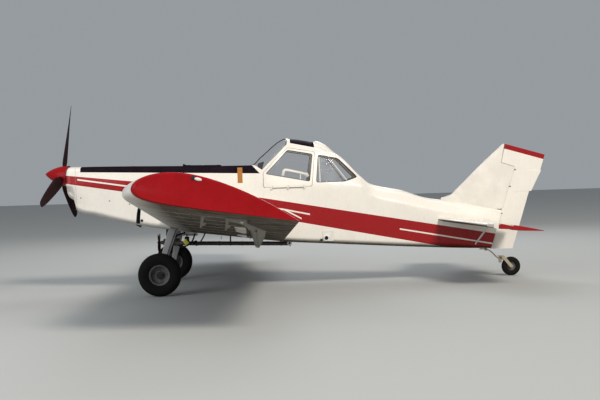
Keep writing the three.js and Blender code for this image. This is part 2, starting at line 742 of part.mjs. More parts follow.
const finRings = [
  // height, leading edge, half-thickness
  [1120, 6400, 40],
  [1341, 6560, 38],
  [1387, 6717, 37],
  [1877, 7243, 36],
  [2222, 7636, 34],
];

function makeFin() {
  const rings = finRings.map(([z, lead, half]) => {
    const tail = rudderX(z) + 60;
    const run = Math.min(260, (tail - lead) * 0.45);
    const bow = arc(0, 0, 1, 270, 90, 8).map(([u, v]) => [lead + run * (1 + u), half * v, z]);
    return [...bow, [tail, half, z], [tail, -half, z]];
  });
  let fin = loft(rings);
  fin = fin.subtract(bodyForm(-seat, 6000, stations.at(-1)[0]));
  fin = fin.subtract(sidePrism([[5800, 900], [6560, 900], [6560, 1500], [5800, 1500]], -300, 300));
  fin = fin.subtract(aftOfHinge(rudderNose * 0.5, 200, 1837));
  fin = fin.subtract(rudderRod(900, 1837, rudderNose + 8));
  fin = fin.subtract(sidePrism(inset(hornOutline, -8), -300, 300));
  fin = fin.subtract(sidePrism([[7500, 1000], [8000, 1000], [8000, 1130], [7500, 1130]], -300, 300));
  return fin.add(rudderPin(1500)).add(rudderPin(1780));
}

const hornOutline = [[7586, 1943], [7846, 1829], [8400, 1829], [8400, 2400], [7715, 2400], [7667, 2222]];

const rudderOutline = [
  [7340, 474],
  [7385, 462],
  [7757, 453],
  [8065, 1413],
  [8101, 1413],
  [8283, 1763],
  [8266, 1763],
  [8350, 2021],
  [7673, 2218],
  [7586, 1943],
  [7800, 1840],
];

function makeRudder() {
  const z0 = 300;
  const z1 = 2600;
  const half = rudderNose;
  const section = (z, ahead) => {
    const x = rudderX(z);
    const front = arc(x, 0, half, 270, 90, 6).map(([u, v]) => [u, v, z]);
    const hornFront = arc(x - ahead + half, 0, half, 270, 90, 6).map(([u, v]) => [u, v, z]);
    return [...(ahead ? hornFront : front), [x + 640, 5, z], [x + 640, -5, z]];
  };
  const hornReach = (z) => rudderX(z) - (7586 + (z - 1943) * 0.316);
  const main = loft([section(z0), section(1842)]);
  const top = loft([section(1829.5, hornReach(1829.5)), section(z1, hornReach(z1))]);
  const lower = main.intersect(sidePrism(rudderOutline, -200, 200));
  const upper = top.intersect(sidePrism(rudderOutline, -200, 200)).intersect(sidePrism(hornOutline, -200, 200));
  let rudder = lower.add(upper);
  for (const z of [560, 1050, 1500, 1780]) {
    rudder = rudder.subtract(rudderGap(z));
  }
  return rudder;
}

// Room in the rudder's nose for a bracket and its pin
function rudderGap(z) {
  const bracket = rudderRod(z - 40, z + 40, rudderNose + 6);
  const x = rudderX(z);
  const reach = sidePrism([[x - 60, z - 11], [x + 8, z - 11], [x + 8, z + 11], [x - 60, z + 11]], -60, 60);
  return bracket.intersect(reach).add(rudderRod(z - 12, z + 12, 16, 12)).add(rudderRod(z - 26, z + 26, 5.6, 10));
}

part("tail_cone", makeTailCone(), paint.white);
part("fin", makeFin(), paint.white);
part("rudder", makeRudder(), paint.white);

// Wings: x aft and y outboard in the wing's own plane

function wingMatrix(side) {
  const turn = new THREE.Euler(radians(side * wing.dihedral), radians(wing.incidence), 0, "XYZ");
  return new THREE.Matrix4()
    .makeRotationFromEuler(turn)
    .setPosition(wing.leX, side * wing.root, wing.leZ);
}

// A solid of the aircraft's frame, seen from the starboard wing's own frame
function intoWing(solid) {
  const geometry = geometryOf(solid);
  geometry.applyMatrix4(wingMatrix(1).invert());
  return solidOf(geometry);
}

const tipLocal = (halfSpan - wing.root) / Math.cos(radians(wing.dihedral));

// The wing's section at y; t runs over the tip, from 0 at its start to 1 at its upright end
function wingRing(y) {
  const t = Math.max(0, (y - wing.straight) / (tipLocal - wing.straight));
  const lead = wingTip.sweep * t ** 2;
  const rim = Math.max(0, (t - wingTip.paint) / (1 - wingTip.paint)) ** 2;
  const lean = t * Math.tan(radians(wing.dihedral));
  const angle = radians(wing.incidence);
  return foilPoints(1).map(([s, h]) => {
    const x = lead + (wing.chord - lead) * s + wingTip.thin * rim * wing.chord * 0.1 * (1 - 2 * s);
    const z = h * wing.chord * (1 - wingTip.thin * rim) + wingTip.raise * lead * (1 - s);
    return [x, y + lean * (z * Math.cos(angle) - x * Math.sin(angle)), z];
  });
}

const tipY = (t) => wing.straight + (tipLocal - wing.straight) * t;

function hingeAt(share = surfaceHinge) {
  const upper = surfaceZ(share, 1) * wing.chord;
  const lower = surfaceZ(share, -1) * wing.chord;
  return { x: share * wing.chord, z: (upper + lower) / 2, r: (upper - lower) / 2 };
}

// The cut in the wing's tail for a flap or an aileron
function surfaceCut(y0, y1) {
  const { x, z, r } = hingeAt();
  const nose = rod([x, y0 - seam, z], [x, y1 + seam, z], r + 8, 16);
  return nose.add(box(x - r * 0.45, x + 900, y0 - seam, y1 + seam, z - 300, z + 300));
}

function makeWing() {
  const ys = [-80, 0, wing.straight, ...[0.3, 0.55, 0.78, wingTip.paint].map(tipY)];
  let made = loft(ys.map(wingRing));
  made = made.subtract(surfaceCut(flap.y0, flap.y1)).subtract(surfaceCut(aileron.y0, aileron.y1));
  const { x, z } = hingeAt();
  for (const [a, b] of surfaceEnds()) {
    made = made.add(rod([x, a, z], [x, b, z], 8, 10));
  }
  made = made.subtract(intoWing(bodyForm(-seat, 1800, 4200)));
  return made.subtract(intoWing(box(1500, 4300, -457, 457, 400, 1600)));
}

// Where the hinge pins stand out of the wing into each end of a flap or an aileron
function surfaceEnds() {
  const reach = 26;
  const stub = 20;
  return [flap, aileron].flatMap(({ y0, y1 }) => [
    [y0 - seam - stub, y0 + reach],
    [y1 - reach, y1 + seam + stub],
  ]);
}

function makeSurface({ y0, y1 }) {
  const { x, z, r } = hingeAt();
  const share = surfaceHinge;
  const tail = foilPoints(wing.chord, share, 6);
  const points = [...tail.slice(0, 7), ...arc(x, z, r, 90, 270, 10).slice(1, -1), ...tail.slice(7)];
  const made = sidePrism(points, y0, y1);
  const bore = rod([x, y0 - 10, z], [x, y0 + 30, z], 8.8, 10).add(rod([x, y1 - 30, z], [x, y1 + 10, z], 8.8, 10));
  return made.subtract(bore);
}

function makeTip() {
  const shares = [wingTip.paint, 0.97, 0.99, 1];
  const ys = shares.map(tipY);
  ys[0] += seat;
  return loft(ys.map(wingRing));
}

for (const side of [-1, 1]) {
  const plane = group(parts, [wing.leX, side * wing.root, wing.leZ], [side * wing.dihedral, wing.incidence, 0]);
  part(sideName("wing", side), onSide(side, makeWing()), paint.white, plane);
  part(sideName("wing_tip", side), onSide(side, makeTip()), paint.red, plane);
  part(sideName("flap", side), onSide(side, makeSurface(flap)), paint.white, plane);
  part(sideName("aileron", side), onSide(side, makeSurface(aileron)), paint.white, plane);
}

// Tailplane, elevator and struts: x aft of the elevator's hinge line in the tailplane's own plane

const tailAngle = (Math.atan(tailPlane.slope) * 180) / Math.PI;
const tailGroup = group(parts, [tailSpindle.x, 0, tailSpindle.z], [0, tailAngle, 0]);

function intoTail(solid) {
  const geometry = geometryOf(solid);
  tailGroup.updateMatrix();
  geometry.applyMatrix4(tailGroup.matrix.clone().invert());
  return solidOf(geometry);
}

function makeStabiliser() {
  const h = tailPlane.half;
  const slant = Math.hypot(1, tailPlane.slope);
  const nose = (y) => (tailPlane.noseX - tailSpindle.x + (y - 250) * tailPlane.sweep) * slant;
  const ring = (y, tail) => {
    const lead = nose(y);
    const run = Math.min(240, (tail - lead) * 0.6);
    const bow = arc(0, 0, 1, 270, 90, 8).map(([u, v]) => [lead + run * (1 + u), y, h * v]);
    return [...bow, [tail, y, h], [tail, y, -h]];
  };
  let made = loft([ring(0, 40), ring(elevator.horn - 10, 40)]);
  made = made.subtract(box(-h * 0.45, 200, -50, 2200, -200, 200)).subtract(rod([0, -50, 0], [0, 2200, 0], h + 8, 20));
  const front = (elevator.hornX - tailSpindle.x) * slant - 8;
  made = made.add(loft([ring(elevator.horn - 12, front), ring(tailPlane.tip, front)]));
  made = made.add(rod([0, elevator.horn - 30, 0], [0, elevator.horn + 30, 0], 8, 10).intersect(box(-9, 9, 1700, 1900, -9, 9)));
  const arm = box(-h - 12, 8, elevator.horn - 40, elevator.horn - 28, -10, 10);
  return made.add(arm).subtract(intoTail(bodyForm(-seat, 6000, stations.at(-1)[0])));
}

function makeElevator() {
  const h = tailPlane.half;
  const slant = Math.hypot(1, tailPlane.slope);
  const tail = (tailPlane.teX - tailSpindle.x) * slant;
  const wedge = [...arc(0, 0, h, 270, 90, 10).reverse(), [tail, -6], [tail, 6]];
  const hornFront = (elevator.hornX - tailSpindle.x) * slant;
  const horn = [...arc(hornFront + h, 0, h, 270, 90, 8).reverse(), [10, -h], [10, h]];
  let half = sidePrism(wedge, elevator.root, tailPlane.tip);
  half = half.add(sidePrism(horn, elevator.horn + 2, tailPlane.tip));
  half = half.subtract(box(-60, 12, elevator.horn - 46, elevator.horn - 22, -60, 60));
  half = half.subtract(rod([0, elevator.horn - 60, 0], [0, elevator.horn + 40, 0], 8.8, 10));
  const tube = rod([0, -elevator.root - 2, 0], [0, elevator.root + 2, 0], 22, 16);
  return half.add(mirrored(half)).add(tube);
}

function makeTailStrut() {
  const made = rod([7091, 100, 540], [7148, 905, 905], 14, 8);
  const plane = intoTail(made).subtract(box(-900, 200, 0, 2200, -tailPlane.half - seat, 400));
  return plane.subtract(intoTail(bodyForm(-seat, 6000, stations.at(-1)[0])));
}

part("elevator", makeElevator(), paint.white, tailGroup);
for (const side of [-1, 1]) {
  part(sideName("stabiliser", side), onSide(side, makeStabiliser()), paint.white, tailGroup);
  part(sideName("tail_strut", side), onSide(side, makeTailStrut()), paint.grey, tailGroup);
}

// Main landing gear

const legPath = [[380, 1008], [600, 1004], [740, 968], [880, 892], [1010, 790], [1120, 670], [1190, 540], [1214, 410], [1216, 280]];

// The space that a solid takes up while it is lowered by a little
function lowered(solid, by = seat) {
  const geometry = geometryOf(solid);
  geometry.translate(0, 0, -by);
  return solid.add(solidOf(geometry));
}

function makeLeg() {
  const strip = frontPrism(ribbon(legPath, 26), 1700, 2400);
  const shape = [[2061, 1100], [2230, 1100], [1988, 300], [1988, 270], [1905, 270], [1905, 300]];
  let leg = strip.intersect(sidePrism(shape, 0, 1500));
  leg = leg.subtract(bodyForm(-seat, 1700, 2600));
  return leg.subtract(outOfWing(lowered(loft([-80, 0, wing.straight].map(wingRing)))));
}

// A solid of the starboard wing's own frame, in the aircraft's frame
function outOfWing(solid) {
  const geometry = geometryOf(solid);
  geometry.applyMatrix4(wingMatrix(1));
  return solidOf(geometry);
}

function makeAxle() {
  const { x, y, tyreR: z, axleR } = wheel;
  const plate = box(x - 52, x + 36, 1229.4, 1241, z - 44, z + 70);
  const brake = box(x - 150, x - 60, 1229.4, 1262, z - 30, z + 90).add(box(x - 70, x, 1229.4, 1241, z - 20, z + 60));
  return rod([x, 1235, z], [x, y + 66, z], axleR, 20).add(plate).add(brake);
}

// Half-profile of a wheel rim: radius, distance from the wheel's middle
const rimProfile = [
  [wheel.axleR + running, -62],
  [58, -62],
  [58, -22],
  [122, -30],
  [128, -82],
  [158, -90],
  [158, -82],
  [146, -72],
  [146, 72],
  [158, 82],
  [158, 90],
  [128, 82],
  [122, 6],
  [58, 10],
  [58, 62],
  [wheel.axleR + running, 62],
  [wheel.axleR + running, -62],
];
const tyreProfile = [
  [146.3, -71],
  [158.3, -81],
  [200, -102],
  [240, -108],
  [284, -100],
  [312, -80],
  [326, -48],
  [326, 48],
  [312, 80],
  [284, 100],
  [240, 108],
  [200, 102],
  [158.3, 81],
  [146.3, 71],
  [146.3, -71],
];

for (const side of [-1, 1]) {
  part(sideName("gear_leg", side), onSide(side, makeLeg()), paint.grey);
  part(sideName("axle", side), onSide(side, makeAxle()), paint.steel);
  const centre = [wheel.x, side * wheel.y, wheel.tyreR];
  part(sideName("rim", side), turnedY(rimProfile, centre, 20), paint.dark);
  part(sideName("tyre", side), turnedY(tyreProfile, centre, 20), paint.rubber);
}

// Tail wheel: leaf spring, fork and wheel

function makeTailSpring() {
  const path = [[7200, 462], [7322, 458], [7400, 402], [7470, 330], [7522, 283]];
  const leaf = sidePrism(ribbon(path, 18), -32, 32);
  const housing = rod([tailWheel.pivotX, 0, 236], [tailWheel.pivotX, 0, 320], 26, 16);
  const bore = rod([tailWheel.pivotX, 0, 200], [tailWheel.pivotX, 0, 360], 12 + running + 0.3, 16);
  const clamp = box(7200, 7250, -34, 34, 460, 490);
  return leaf.add(clamp).add(housing).subtract(bore).subtract(bodyForm(-seat, 6800, stations.at(-1)[0]));
}

function makeFork() {
  const { x, r, pivotX } = tailWheel;
  const stem = rod([pivotX, 0, 226], [pivotX, 0, 340], 12, 16);
  const crown = box(pivotX - 28, pivotX + 60, -62, 62, 326, 338);
  let made = stem.add(crown).add(rod([pivotX, 0, 222], [pivotX, 0, 230], 22, 16));
  for (const side of [-1, 1]) {
    const arm = [[pivotX - 4, 338], [pivotX + 60, 338], [x + 22, r + 6], [x + 14, r - 22], [x - 22, r - 22]];
    made = made.add(sidePrism(arm, side > 0 ? 54 : -62, side > 0 ? 62 : -54));
  }
  return made.add(rod([x, -66, r], [x, 66, r], 9, 12));
}

const tailRim = [[9.5, -50], [20, -50], [20, -14], [70, -20], [70, 20], [20, 14], [20, 50], [9.5, 50], [9.5, -50]];
const tailTyre = [
  [70.3, -30],
  [100, -46],
  [132, -44],
  [152, -30],
  [158, -12],
  [158, 12],
  [152, 30],
  [132, 44],
  [100, 46],
  [70.3, 30],
  [70.3, -30],
];
part("tail_spring", makeTailSpring(), paint.grey);
part("tail_fork", makeFork(), paint.steel);
const tailHub = [tailWheel.x, 0, tailWheel.r];
part("tail_rim", turnedY(tailRim, tailHub, 20), paint.dark);
part("tail_tyre", turnedY(tailTyre, tailHub, 20), paint.rubber);

// Spray gear under the belly and the wings

const pump = { x: 1842, z: 742, fanR: 200 };
const pipeRadius = 34;
const filler = { x: 4603, z: 790, half: 88, face: 462 };

// The pump's pipe passes the gate's door on the port side
const pumpPipe = [
  [2040, 0, 748],
  [2110, -70, 742],
  [2180, -160, 736],
  [2290, -186, 728],
  [2460, -182, 720],
  [2560, -95, 713],
  [2625, -12, 706.1],
  [2690, 0, 703.8],
  [2742, 0, 702],
];

function makePump() {
  const { x, z } = pump;
  let made = rod([x + 60, 0, z], [x + 330, 0, z], 62, 20).add(rod([x + 20, 0, z], [x + 62, 0, z], 30, 16));
  made = made.add(rod([x - 40, 0, z], [x + 30, 0, z], 10, 12));
  for (const dx of [110, 250]) {
    made = made.add(sidePrism([[x + dx, z + 40], [x + dx + 30, z + 40], [x + dx + 60, 1050], [x + dx, 1050]], -10, 10));
  }
  made = made.add(pipe(pumpPipe, pipeRadius, 10, 14));
  return made.subtract(bodyForm(-seat, 1500, 2900)).subtract(box(gate.x0 - 30, gate.x1 + 40, -200, 200, 800, 1000));
}

function makeFan() {
  const { x, z, fanR } = pump;
  let made = rod([x - 34, 0, z], [x + 14, 0, z], 34, 16);
  for (let i = 0; i < 4; i += 1) {
    const angle = radians(45 + 90 * i);
    const out = new THREE.Vector3(0, Math.cos(angle), Math.sin(angle));
    const along = new THREE.Vector3(0, -Math.sin(angle), Math.cos(angle));
    const rings = [[26, 40, 50], [90, 62, 40], [fanR, 46, 24]].map(([r, chord, pitch]) => {
      const line = along.clone().multiplyScalar(Math.cos(radians(pitch)));
      line.x = Math.sin(radians(pitch));
      const across = line.clone().cross(out);
      return arc(0, 0, 0.5, 0, 300, 5).map(([u, v]) => new THREE.Vector3(x - 10, 0, z)
        .add(out.clone().multiplyScalar(r))
        .add(line.clone().multiplyScalar(u * chord))
        .add(across.clone().multiplyScalar(v * 7))
        .toArray());
    });
    made = made.add(loft(rings));
  }
  return made.subtract(rod([x - 100, 0, z], [x + 100, 0, z], 10.8, 12));
}

function makeBellyPipe() {
  let made = rod([2742.5, 0, 701.9], [3990, 0, 659], pipeRadius, 12);
  made = made.add(rod([3985, 0, 659], [4010, 0, 658], 46, 16));
  for (const x of [3000, 3420, 3840]) {
    made = made.add(box(x, x + 24, -8, 8, 660, 900));
  }
  return made.subtract(bodyForm(-seat, 2500, 4400));
}

part("spray_pump", makePump(), paint.dark);
part("pump_fan", makeFan(), paint.red);
part("belly_pipe", makeBellyPipe(), paint.dark);

// The sheet-metal hangers under the wing's rear spar
function makeHanger() {
  const { x, r } = hingeAt();
  const y = 4700;
  const back = [[x - 63, 80], [x - 48, -80], [x + 152, -118], [x + 152, -205], [x + 97, -282]];
  const vee = [...back, [x + 52, -282], [x - 68, -110], [x - 290, -84], [x - 290, 80]];
  const web = sidePrism(vee, y, y + 8);
  const foot = box(x - 300, x - r - 40, y - 30, y + 38, -200, 80);
  const skin = loft([-80, 0, wing.straight].map(wingRing));
  const flange = foot.intersect(lowered(skin, 10)).subtract(lowered(skin));
  return web.subtract(lowered(skin)).add(flange);
}

for (const side of [-1, 1]) {
  const plane = group(parts, [wing.leX, side * wing.root, wing.leZ], [side * wing.dihedral, wing.incidence, 0]);
  part(sideName("boom_hanger", side), onSide(side, makeHanger()), paint.grey, plane);
}

// The ground filling port, on the port side below the stripe
function makeLoadingPort() {
  const { x, z, half, face } = filler;
  const plate = box(x - half, x + half, -face, -380, z - half, z + half);
  const hub = rod([x, -face + 4, z], [x, -face - 46, z], 42, 20);
  const bore = rod([x, -face - 10, z], [x, -face - 60, z], 32, 20);
  return plate.subtract(bodyForm(-seat, 4300, 4900)).add(hub).subtract(bore);
}

part("loading_port", makeLoadingPort(), paint.grey);

export default parts;
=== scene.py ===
import json
import math
from functools import reduce
import bmesh
import bpy
import numpy as np
from mathutils import Matrix, Vector


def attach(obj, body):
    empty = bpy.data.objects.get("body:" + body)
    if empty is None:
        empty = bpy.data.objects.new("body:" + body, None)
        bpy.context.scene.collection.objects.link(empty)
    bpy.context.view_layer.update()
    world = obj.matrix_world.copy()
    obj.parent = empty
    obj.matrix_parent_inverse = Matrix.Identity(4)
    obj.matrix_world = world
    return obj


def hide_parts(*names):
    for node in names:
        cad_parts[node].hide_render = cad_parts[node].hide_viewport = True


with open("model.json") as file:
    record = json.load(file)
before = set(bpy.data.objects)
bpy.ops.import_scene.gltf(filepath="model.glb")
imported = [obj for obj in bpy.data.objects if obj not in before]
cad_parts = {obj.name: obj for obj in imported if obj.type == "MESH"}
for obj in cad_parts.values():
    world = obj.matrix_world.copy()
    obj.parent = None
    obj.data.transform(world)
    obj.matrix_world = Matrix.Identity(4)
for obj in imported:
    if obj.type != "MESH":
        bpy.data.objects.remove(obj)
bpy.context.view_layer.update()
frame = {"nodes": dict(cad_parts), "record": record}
scene = bpy.context.scene
scene.view_settings.view_transform = "Standard"
cadNodes = frame["nodes"]
bodyOfNode = {
    node: body for body, nodes in frame["record"]["behaviour"]["bodies"].items() for node in nodes
}

# Metres, +X aft, +Y to starboard, +Z up, ground at z = 0. Lengths along the fuselage are given as
# stations in millimetres, counted from the spinner's tip, and noseX is where that tip is.
noseX = -4.175
sideWords = ((-1, "left"), (1, "right"))

print("stage: camera, floor and light")

viewCamera = {
    "place": (-0.814, -16.0, 1.579), "lens": 57.6, "sensor": 36.0, "far": 500, "yaw": 2.98, "pitch": 0.63,
    "noseUp": 1.7,  # the photograph's level is turned by this much against the ground the part stands on
}


def makeCamera(values):
    yaw, pitch, tilt = (math.radians(values[k]) for k in ("yaw", "pitch", "noseUp"))
    ahead = Vector((math.sin(yaw) * math.cos(pitch), math.cos(yaw) * math.cos(pitch), -math.sin(pitch)))
    right = Vector((math.cos(yaw), -math.sin(yaw), 0))
    level = Matrix.Rotation(tilt, 3, "Y")
    ahead, right = level @ ahead, level @ right
    data = bpy.data.cameras.new("photoCamera")
    data.lens, data.sensor_width, data.clip_end = values["lens"], values["sensor"], values["far"]
    camera = bpy.data.objects.new("photoCamera", data)
    columns = Matrix((right, right.cross(ahead), -ahead)).transposed().to_4x4()
    camera.matrix_world = Matrix.Translation(Vector(values["place"])) @ columns
    scene.collection.objects.link(camera)
    scene.camera = camera


makeCamera(viewCamera)

# Node graphs: the tree being built, its Object coordinates and their three axes
graph = {}


# Sets a node's inputs: a value is written and a socket is linked
def feed(node, inputs):
    for key, value in inputs.items():
        if isinstance(value, bpy.types.NodeSocket):
            graph["tree"].links.new(value, node.inputs[key])
        else:
            node.inputs[key].default_value = value


# Adds one shader node and gives back its outputs
def wire(kind, inputs, **settings):
    node = graph["tree"].nodes.new(kind)
    for key, value in settings.items():
        setattr(node, key, value)
    feed(node, inputs)
    return node.outputs


def calc(operation, a, b=0.0, c=0.0, clamp=False):
    return wire("ShaderNodeMath", {0: a, 1: b, 2: c}, operation=operation, use_clamp=clamp)[0]


def times(a, b):
    return calc("MULTIPLY", a, b)


def minus(a, b):
    return calc("SUBTRACT", a, b)


def most(a, b):
    return calc("MAXIMUM", a, b)


def mixColor(share, a, b):
    return wire("ShaderNodeMix", {0: share, 6: a, 7: b}, data_type="RGBA")[2]


def remap(value, fromLow, fromHigh, toLow=0.0, toHigh=1.0):
    inputs = {"Value": value, "From Min": fromLow, "From Max": fromHigh, "To Min": toLow, "To Max": toHigh}
    return wire("ShaderNodeMapRange", inputs)[0]


def noise(scale, detail=4.0, rough=0.55, stretch=None):
    vector = graph["at"]
    if stretch is not None:
        vector = wire("ShaderNodeMapping", {"Vector": vector, "Scale": stretch})[0]
    inputs = {"Vector": vector, "Scale": scale, "Detail": detail, "Roughness": rough}
    return wire("ShaderNodeTexNoise", inputs)[0]


def bump(height, strength, distance=0.002):
    return wire("ShaderNodeBump", {"Height": height, "Strength": strength, "Distance": distance})[0]


def colour(r, g, b):
    return (r, g, b, 1.0)


def darker(base, share):
    return tuple(share * c for c in base[:3]) + (1.0,)


def startMaterial(name):
    material = bpy.data.materials.new(name)
    material.use_nodes = True
    graph["tree"] = material.node_tree
    graph["at"] = wire("ShaderNodeTexCoord", {})["Object"]
    graph["x"], graph["y"], graph["z"] = wire("ShaderNodeSeparateXYZ", {0: graph["at"]})
    return material, material.node_tree.nodes["Principled BSDF"]


# Height above a straight line in the side view, through two points (x, z)
def aboveLine(a, b):
    slope = (b[1] - a[1]) / (b[0] - a[0])
    return minus(graph["z"], calc("MULTIPLY_ADD", graph["x"], slope, a[1] - slope * a[0]))


# 1 where value is above zero, with an edge a millimetre wide
def step(value):
    return remap(value, -0.0005, 0.0005)


def both(*shares):
    return reduce(times, shares)


# Height over a bent line: the greatest of the heights above its straight pieces
def heightOver(points):
    return reduce(most, [aboveLine(a, b) for a, b in zip(points[:-1], points[1:])])


# Lines of the paint scheme in the side view (x, z), read off the near side
livery = {
    "bandTop": [(-3.730, 1.884), (-2.652, 1.759), (-0.617, 1.436), (3.213, 0.730)],
    "bandBottom": [(-3.743, 1.751), (-2.837, 1.600), (1.941, 0.626)],
    "pins": [
        [(-3.585, 1.818), (-2.712, 1.678)], [(-2.712, 1.678), (-0.275, 1.239)],
        [(-0.275, 1.239), (0.144, 1.147)], [(-0.275, 1.239), (0.006, 1.082)],
        [(1.623, 0.858), (3.33, 0.531)],
    ],
    "pinWidth": 0.024, "bandEnd": 3.6, "deckFront": -3.535, "roofEnds": (-0.138, 0.255),
    "deckEdge": [(-3.541, 1.935), (-0.668, 1.834)], "deckRear": [(-0.773, 1.970), (-0.655, 1.840)],
    "roofEdge": [(-0.150, 2.321), (0.216, 2.242)],
    "white": colour(0.84, 0.795, 0.725), "red": colour(0.315, 0.006, 0.009),
    "black": colour(0.011, 0.007, 0.012),
}
# grime is the colour of real dirt; the mud colour is painted shade for faces that point down, with a little
# real underside grime in it
dirtAndShadeLook = {"grime": colour(0.10, 0.075, 0.040), "mudAndShade": colour(0.036, 0.022, 0.008)}


# Share of a pin line: within half its width of the line, between its two ends
def pinShare(a, b):
    near = step(minus(livery["pinWidth"] / 2, calc("ABSOLUTE", aboveLine(a, b))))
    return both(near, step(minus(graph["x"], a[0])), step(minus(b[0], graph["x"])))


# Dust, oil and rain marks: broad patches, fine specks and streaks that run down; and mud underneath, which
# is painted shade: faces that point down go to a near-black colour that stands in for the shade beneath
# them, over some real underside grime
def weatheredAndShaded(paint, amount=1.0, below=0.97):
    patches = remap(noise(2.3, 5.0, 0.6), 0.42, 0.72, 0.0, 0.06 * amount)
    streaks = remap(noise(9.0, 4.0, 0.6, (6.0, 6.0, 0.5)), 0.52, 0.78, 0.0, 0.08 * amount)
    specks = remap(noise(70.0, 2.0, 0.5), 0.62, 0.75, 0.0, 0.05 * amount)
    up = wire("ShaderNodeSeparateXYZ", {0: wire("ShaderNodeTexCoord", {})["Normal"]})[2]
    rough = remap(noise(5.0, 6.0, 0.65), 0.3, 0.7, 0.86, 1.0)
    # Painted shade: faces that point down, less so on the cowl, are darkened to the mud colour in place of
    # the shade beneath them
    under = both(remap(up, -0.2, -0.75, 0.0, below), rough, remap(graph["x"], -2.05, -1.75, 0.45, 1.0))
    dirt = calc("ADD", calc("ADD", patches, streaks), specks, clamp=True)
    wornAndShaded = mixColor(under, mixColor(dirt, paint, dirtAndShadeLook["grime"]), dirtAndShadeLook["mudAndShade"])
    # The second value holds the dirt and the painted shade's share together, for roughness and shine
    return wornAndShaded, calc("ADD", dirt, under, clamp=True)


# Paint under its dirt and its painted underside shade: rougher and less shiny where either lies, with a
# faint waviness
def paintFinish(shader, wornAndShaded, dirt, gloss=0.28, shine=1.0):
    base = remap(noise(14.0), 0.3, 0.7, gloss - 0.05, gloss + 0.1)
    dull = calc("MULTIPLY_ADD", dirt, -0.3 * shine, 0.3 * shine, clamp=True)
    height = calc("MULTIPLY_ADD", noise(160.0, 2.0, 0.5), 0.02, noise(3.2, 3.0, 0.5))
    feed(shader, {
        "Base Color": wornAndShaded, "Roughness": calc("ADD", base, times(dirt, 0.45), clamp=True),
        "Normal": bump(height, 0.12, 0.02), "Specular IOR Level": dull, "Coat Weight": times(dull, 0.2),
        "Coat Roughness": 0.15,
    })


# The fuselage's paint: white with the red band, the pin lines, the black deck and the roof's dark band, with
# dirt, and painted shade on its faces that point down
def makeLiveryPaint():
    material, shader = startMaterial("liveryPaint")
    x, (start, end) = graph["x"], livery["roofEnds"]
    band = both(
        step(times(heightOver(livery["bandTop"]), -1.0)), step(heightOver(livery["bandBottom"])),
        step(minus(livery["bandEnd"], x)),
    )
    pins = reduce(most, [pinShare(a, b) for a, b in livery["pins"]])
    rear = step(times(aboveLine(*livery["deckRear"]), -1.0))
    deck = both(step(aboveLine(*livery["deckEdge"])), step(minus(x, livery["deckFront"])), rear)
    roof = both(step(aboveLine(*livery["roofEdge"])), step(minus(x, start)), step(minus(end, x)))
    deck = most(deck, roof)
    paint = mixColor(times(band, minus(1.0, pins)), livery["white"], livery["red"])
    wornAndShaded, dirt = weatheredAndShaded(mixColor(deck, paint, livery["black"]))
    paintFinish(shader, wornAndShaded, calc("ADD", dirt, deck))
    return material


# A plain paint with a random tone, dirt, and painted shade on its faces that point down
def makePlainPaint(name, base, gloss=0.28, amount=1.0, below=0.97, shine=1.0):
    material, shader = startMaterial(name)
    shade = mixColor(remap(noise(4.0, 5.0), 0.3, 0.7), base, darker(base, 0.86))
    paintFinish(shader, *weatheredAndShaded(shade, amount, below), gloss, shine)
    return material


# White paint with red where the share is 1, with dirt, and some painted shade on its faces that point down
def makeCapPaint(name, share):
    material, shader = startMaterial(name)
    paintFinish(shader, *weatheredAndShaded(mixColor(share(), livery["white"], livery["red"]), below=0.4))
    return material


def makeGlass():
    material, shader = startMaterial("clearPane")
    smear = remap(noise(7.0, 5.0), 0.35, 0.75, 0.02, 0.14)
    feed(shader, {"Base Color": colour(0.30, 0.31, 0.30), "Alpha": 0.05, "IOR": 1.3, "Roughness": smear})
    return material


def makeRubber():
    material, shader = startMaterial("blackRubber")
    dust = remap(noise(11.0, 6.0, 0.65), 0.42, 0.75, 0.0, 0.3)
    feed(shader, {
        "Base Color": mixColor(dust, colour(0.009, 0.008, 0.008), colour(0.026, 0.021, 0.016)),
        "Roughness": remap(dust, 0.0, 0.3, 0.68, 0.92), "Specular IOR Level": 0.08,
        "Normal": bump(noise(240.0, 3.0, 0.6), 0.25),
    })
    return material


def makeMetal(name, base, rough=0.4, metallic=0.9, rust=0.0):
    material, shader = startMaterial(name)
    patches = remap(noise(18.0, 6.0, 0.65), 0.45, 0.7)
    spots = remap(noise(40.0, 5.0, 0.7), 0.5, 0.66, 0.0, rust)
    tone = mixColor(patches, base, darker(base, 0.55))
    feed(shader, {
        "Base Color": mixColor(spots, tone, colour(0.16, 0.055, 0.02)),
        "Roughness": remap(patches, 0.0, 1.0, rough, min(rough + 0.25, 1.0)),
        "Metallic": times(minus(1.0, spots), metallic), "Normal": bump(patches, 0.15),
    })
    return material


# Woven cloth: two crossed waves as bump and a slight change of tone
def makeCloth():
    material, shader = startMaterial("wovenCloth")
    waves = {"Vector": graph["at"], "Scale": 160.0}
    weave = times(*(wire("ShaderNodeTexWave", waves, bands_direction=axis)[1] for axis in "YZ"))
    tone = mixColor(weave, colour(0.030, 0.032, 0.038), colour(0.075, 0.078, 0.085))
    feed(shader, {
        "Base Color": tone, "Roughness": 0.92, "Sheen Weight": 0.25, "Normal": bump(weave, 0.5, 0.001),
    })
    return material


# The rudder's red cap lies above a line parallel to its top edge
def rudderCap():
    return step(aboveLine((3.498, 2.134), (4.175, 1.937)))


# The elevator's ends are red, horn and all
def elevatorEnds():
    return step(minus(calc("ABSOLUTE", graph["y"]), 1.767))
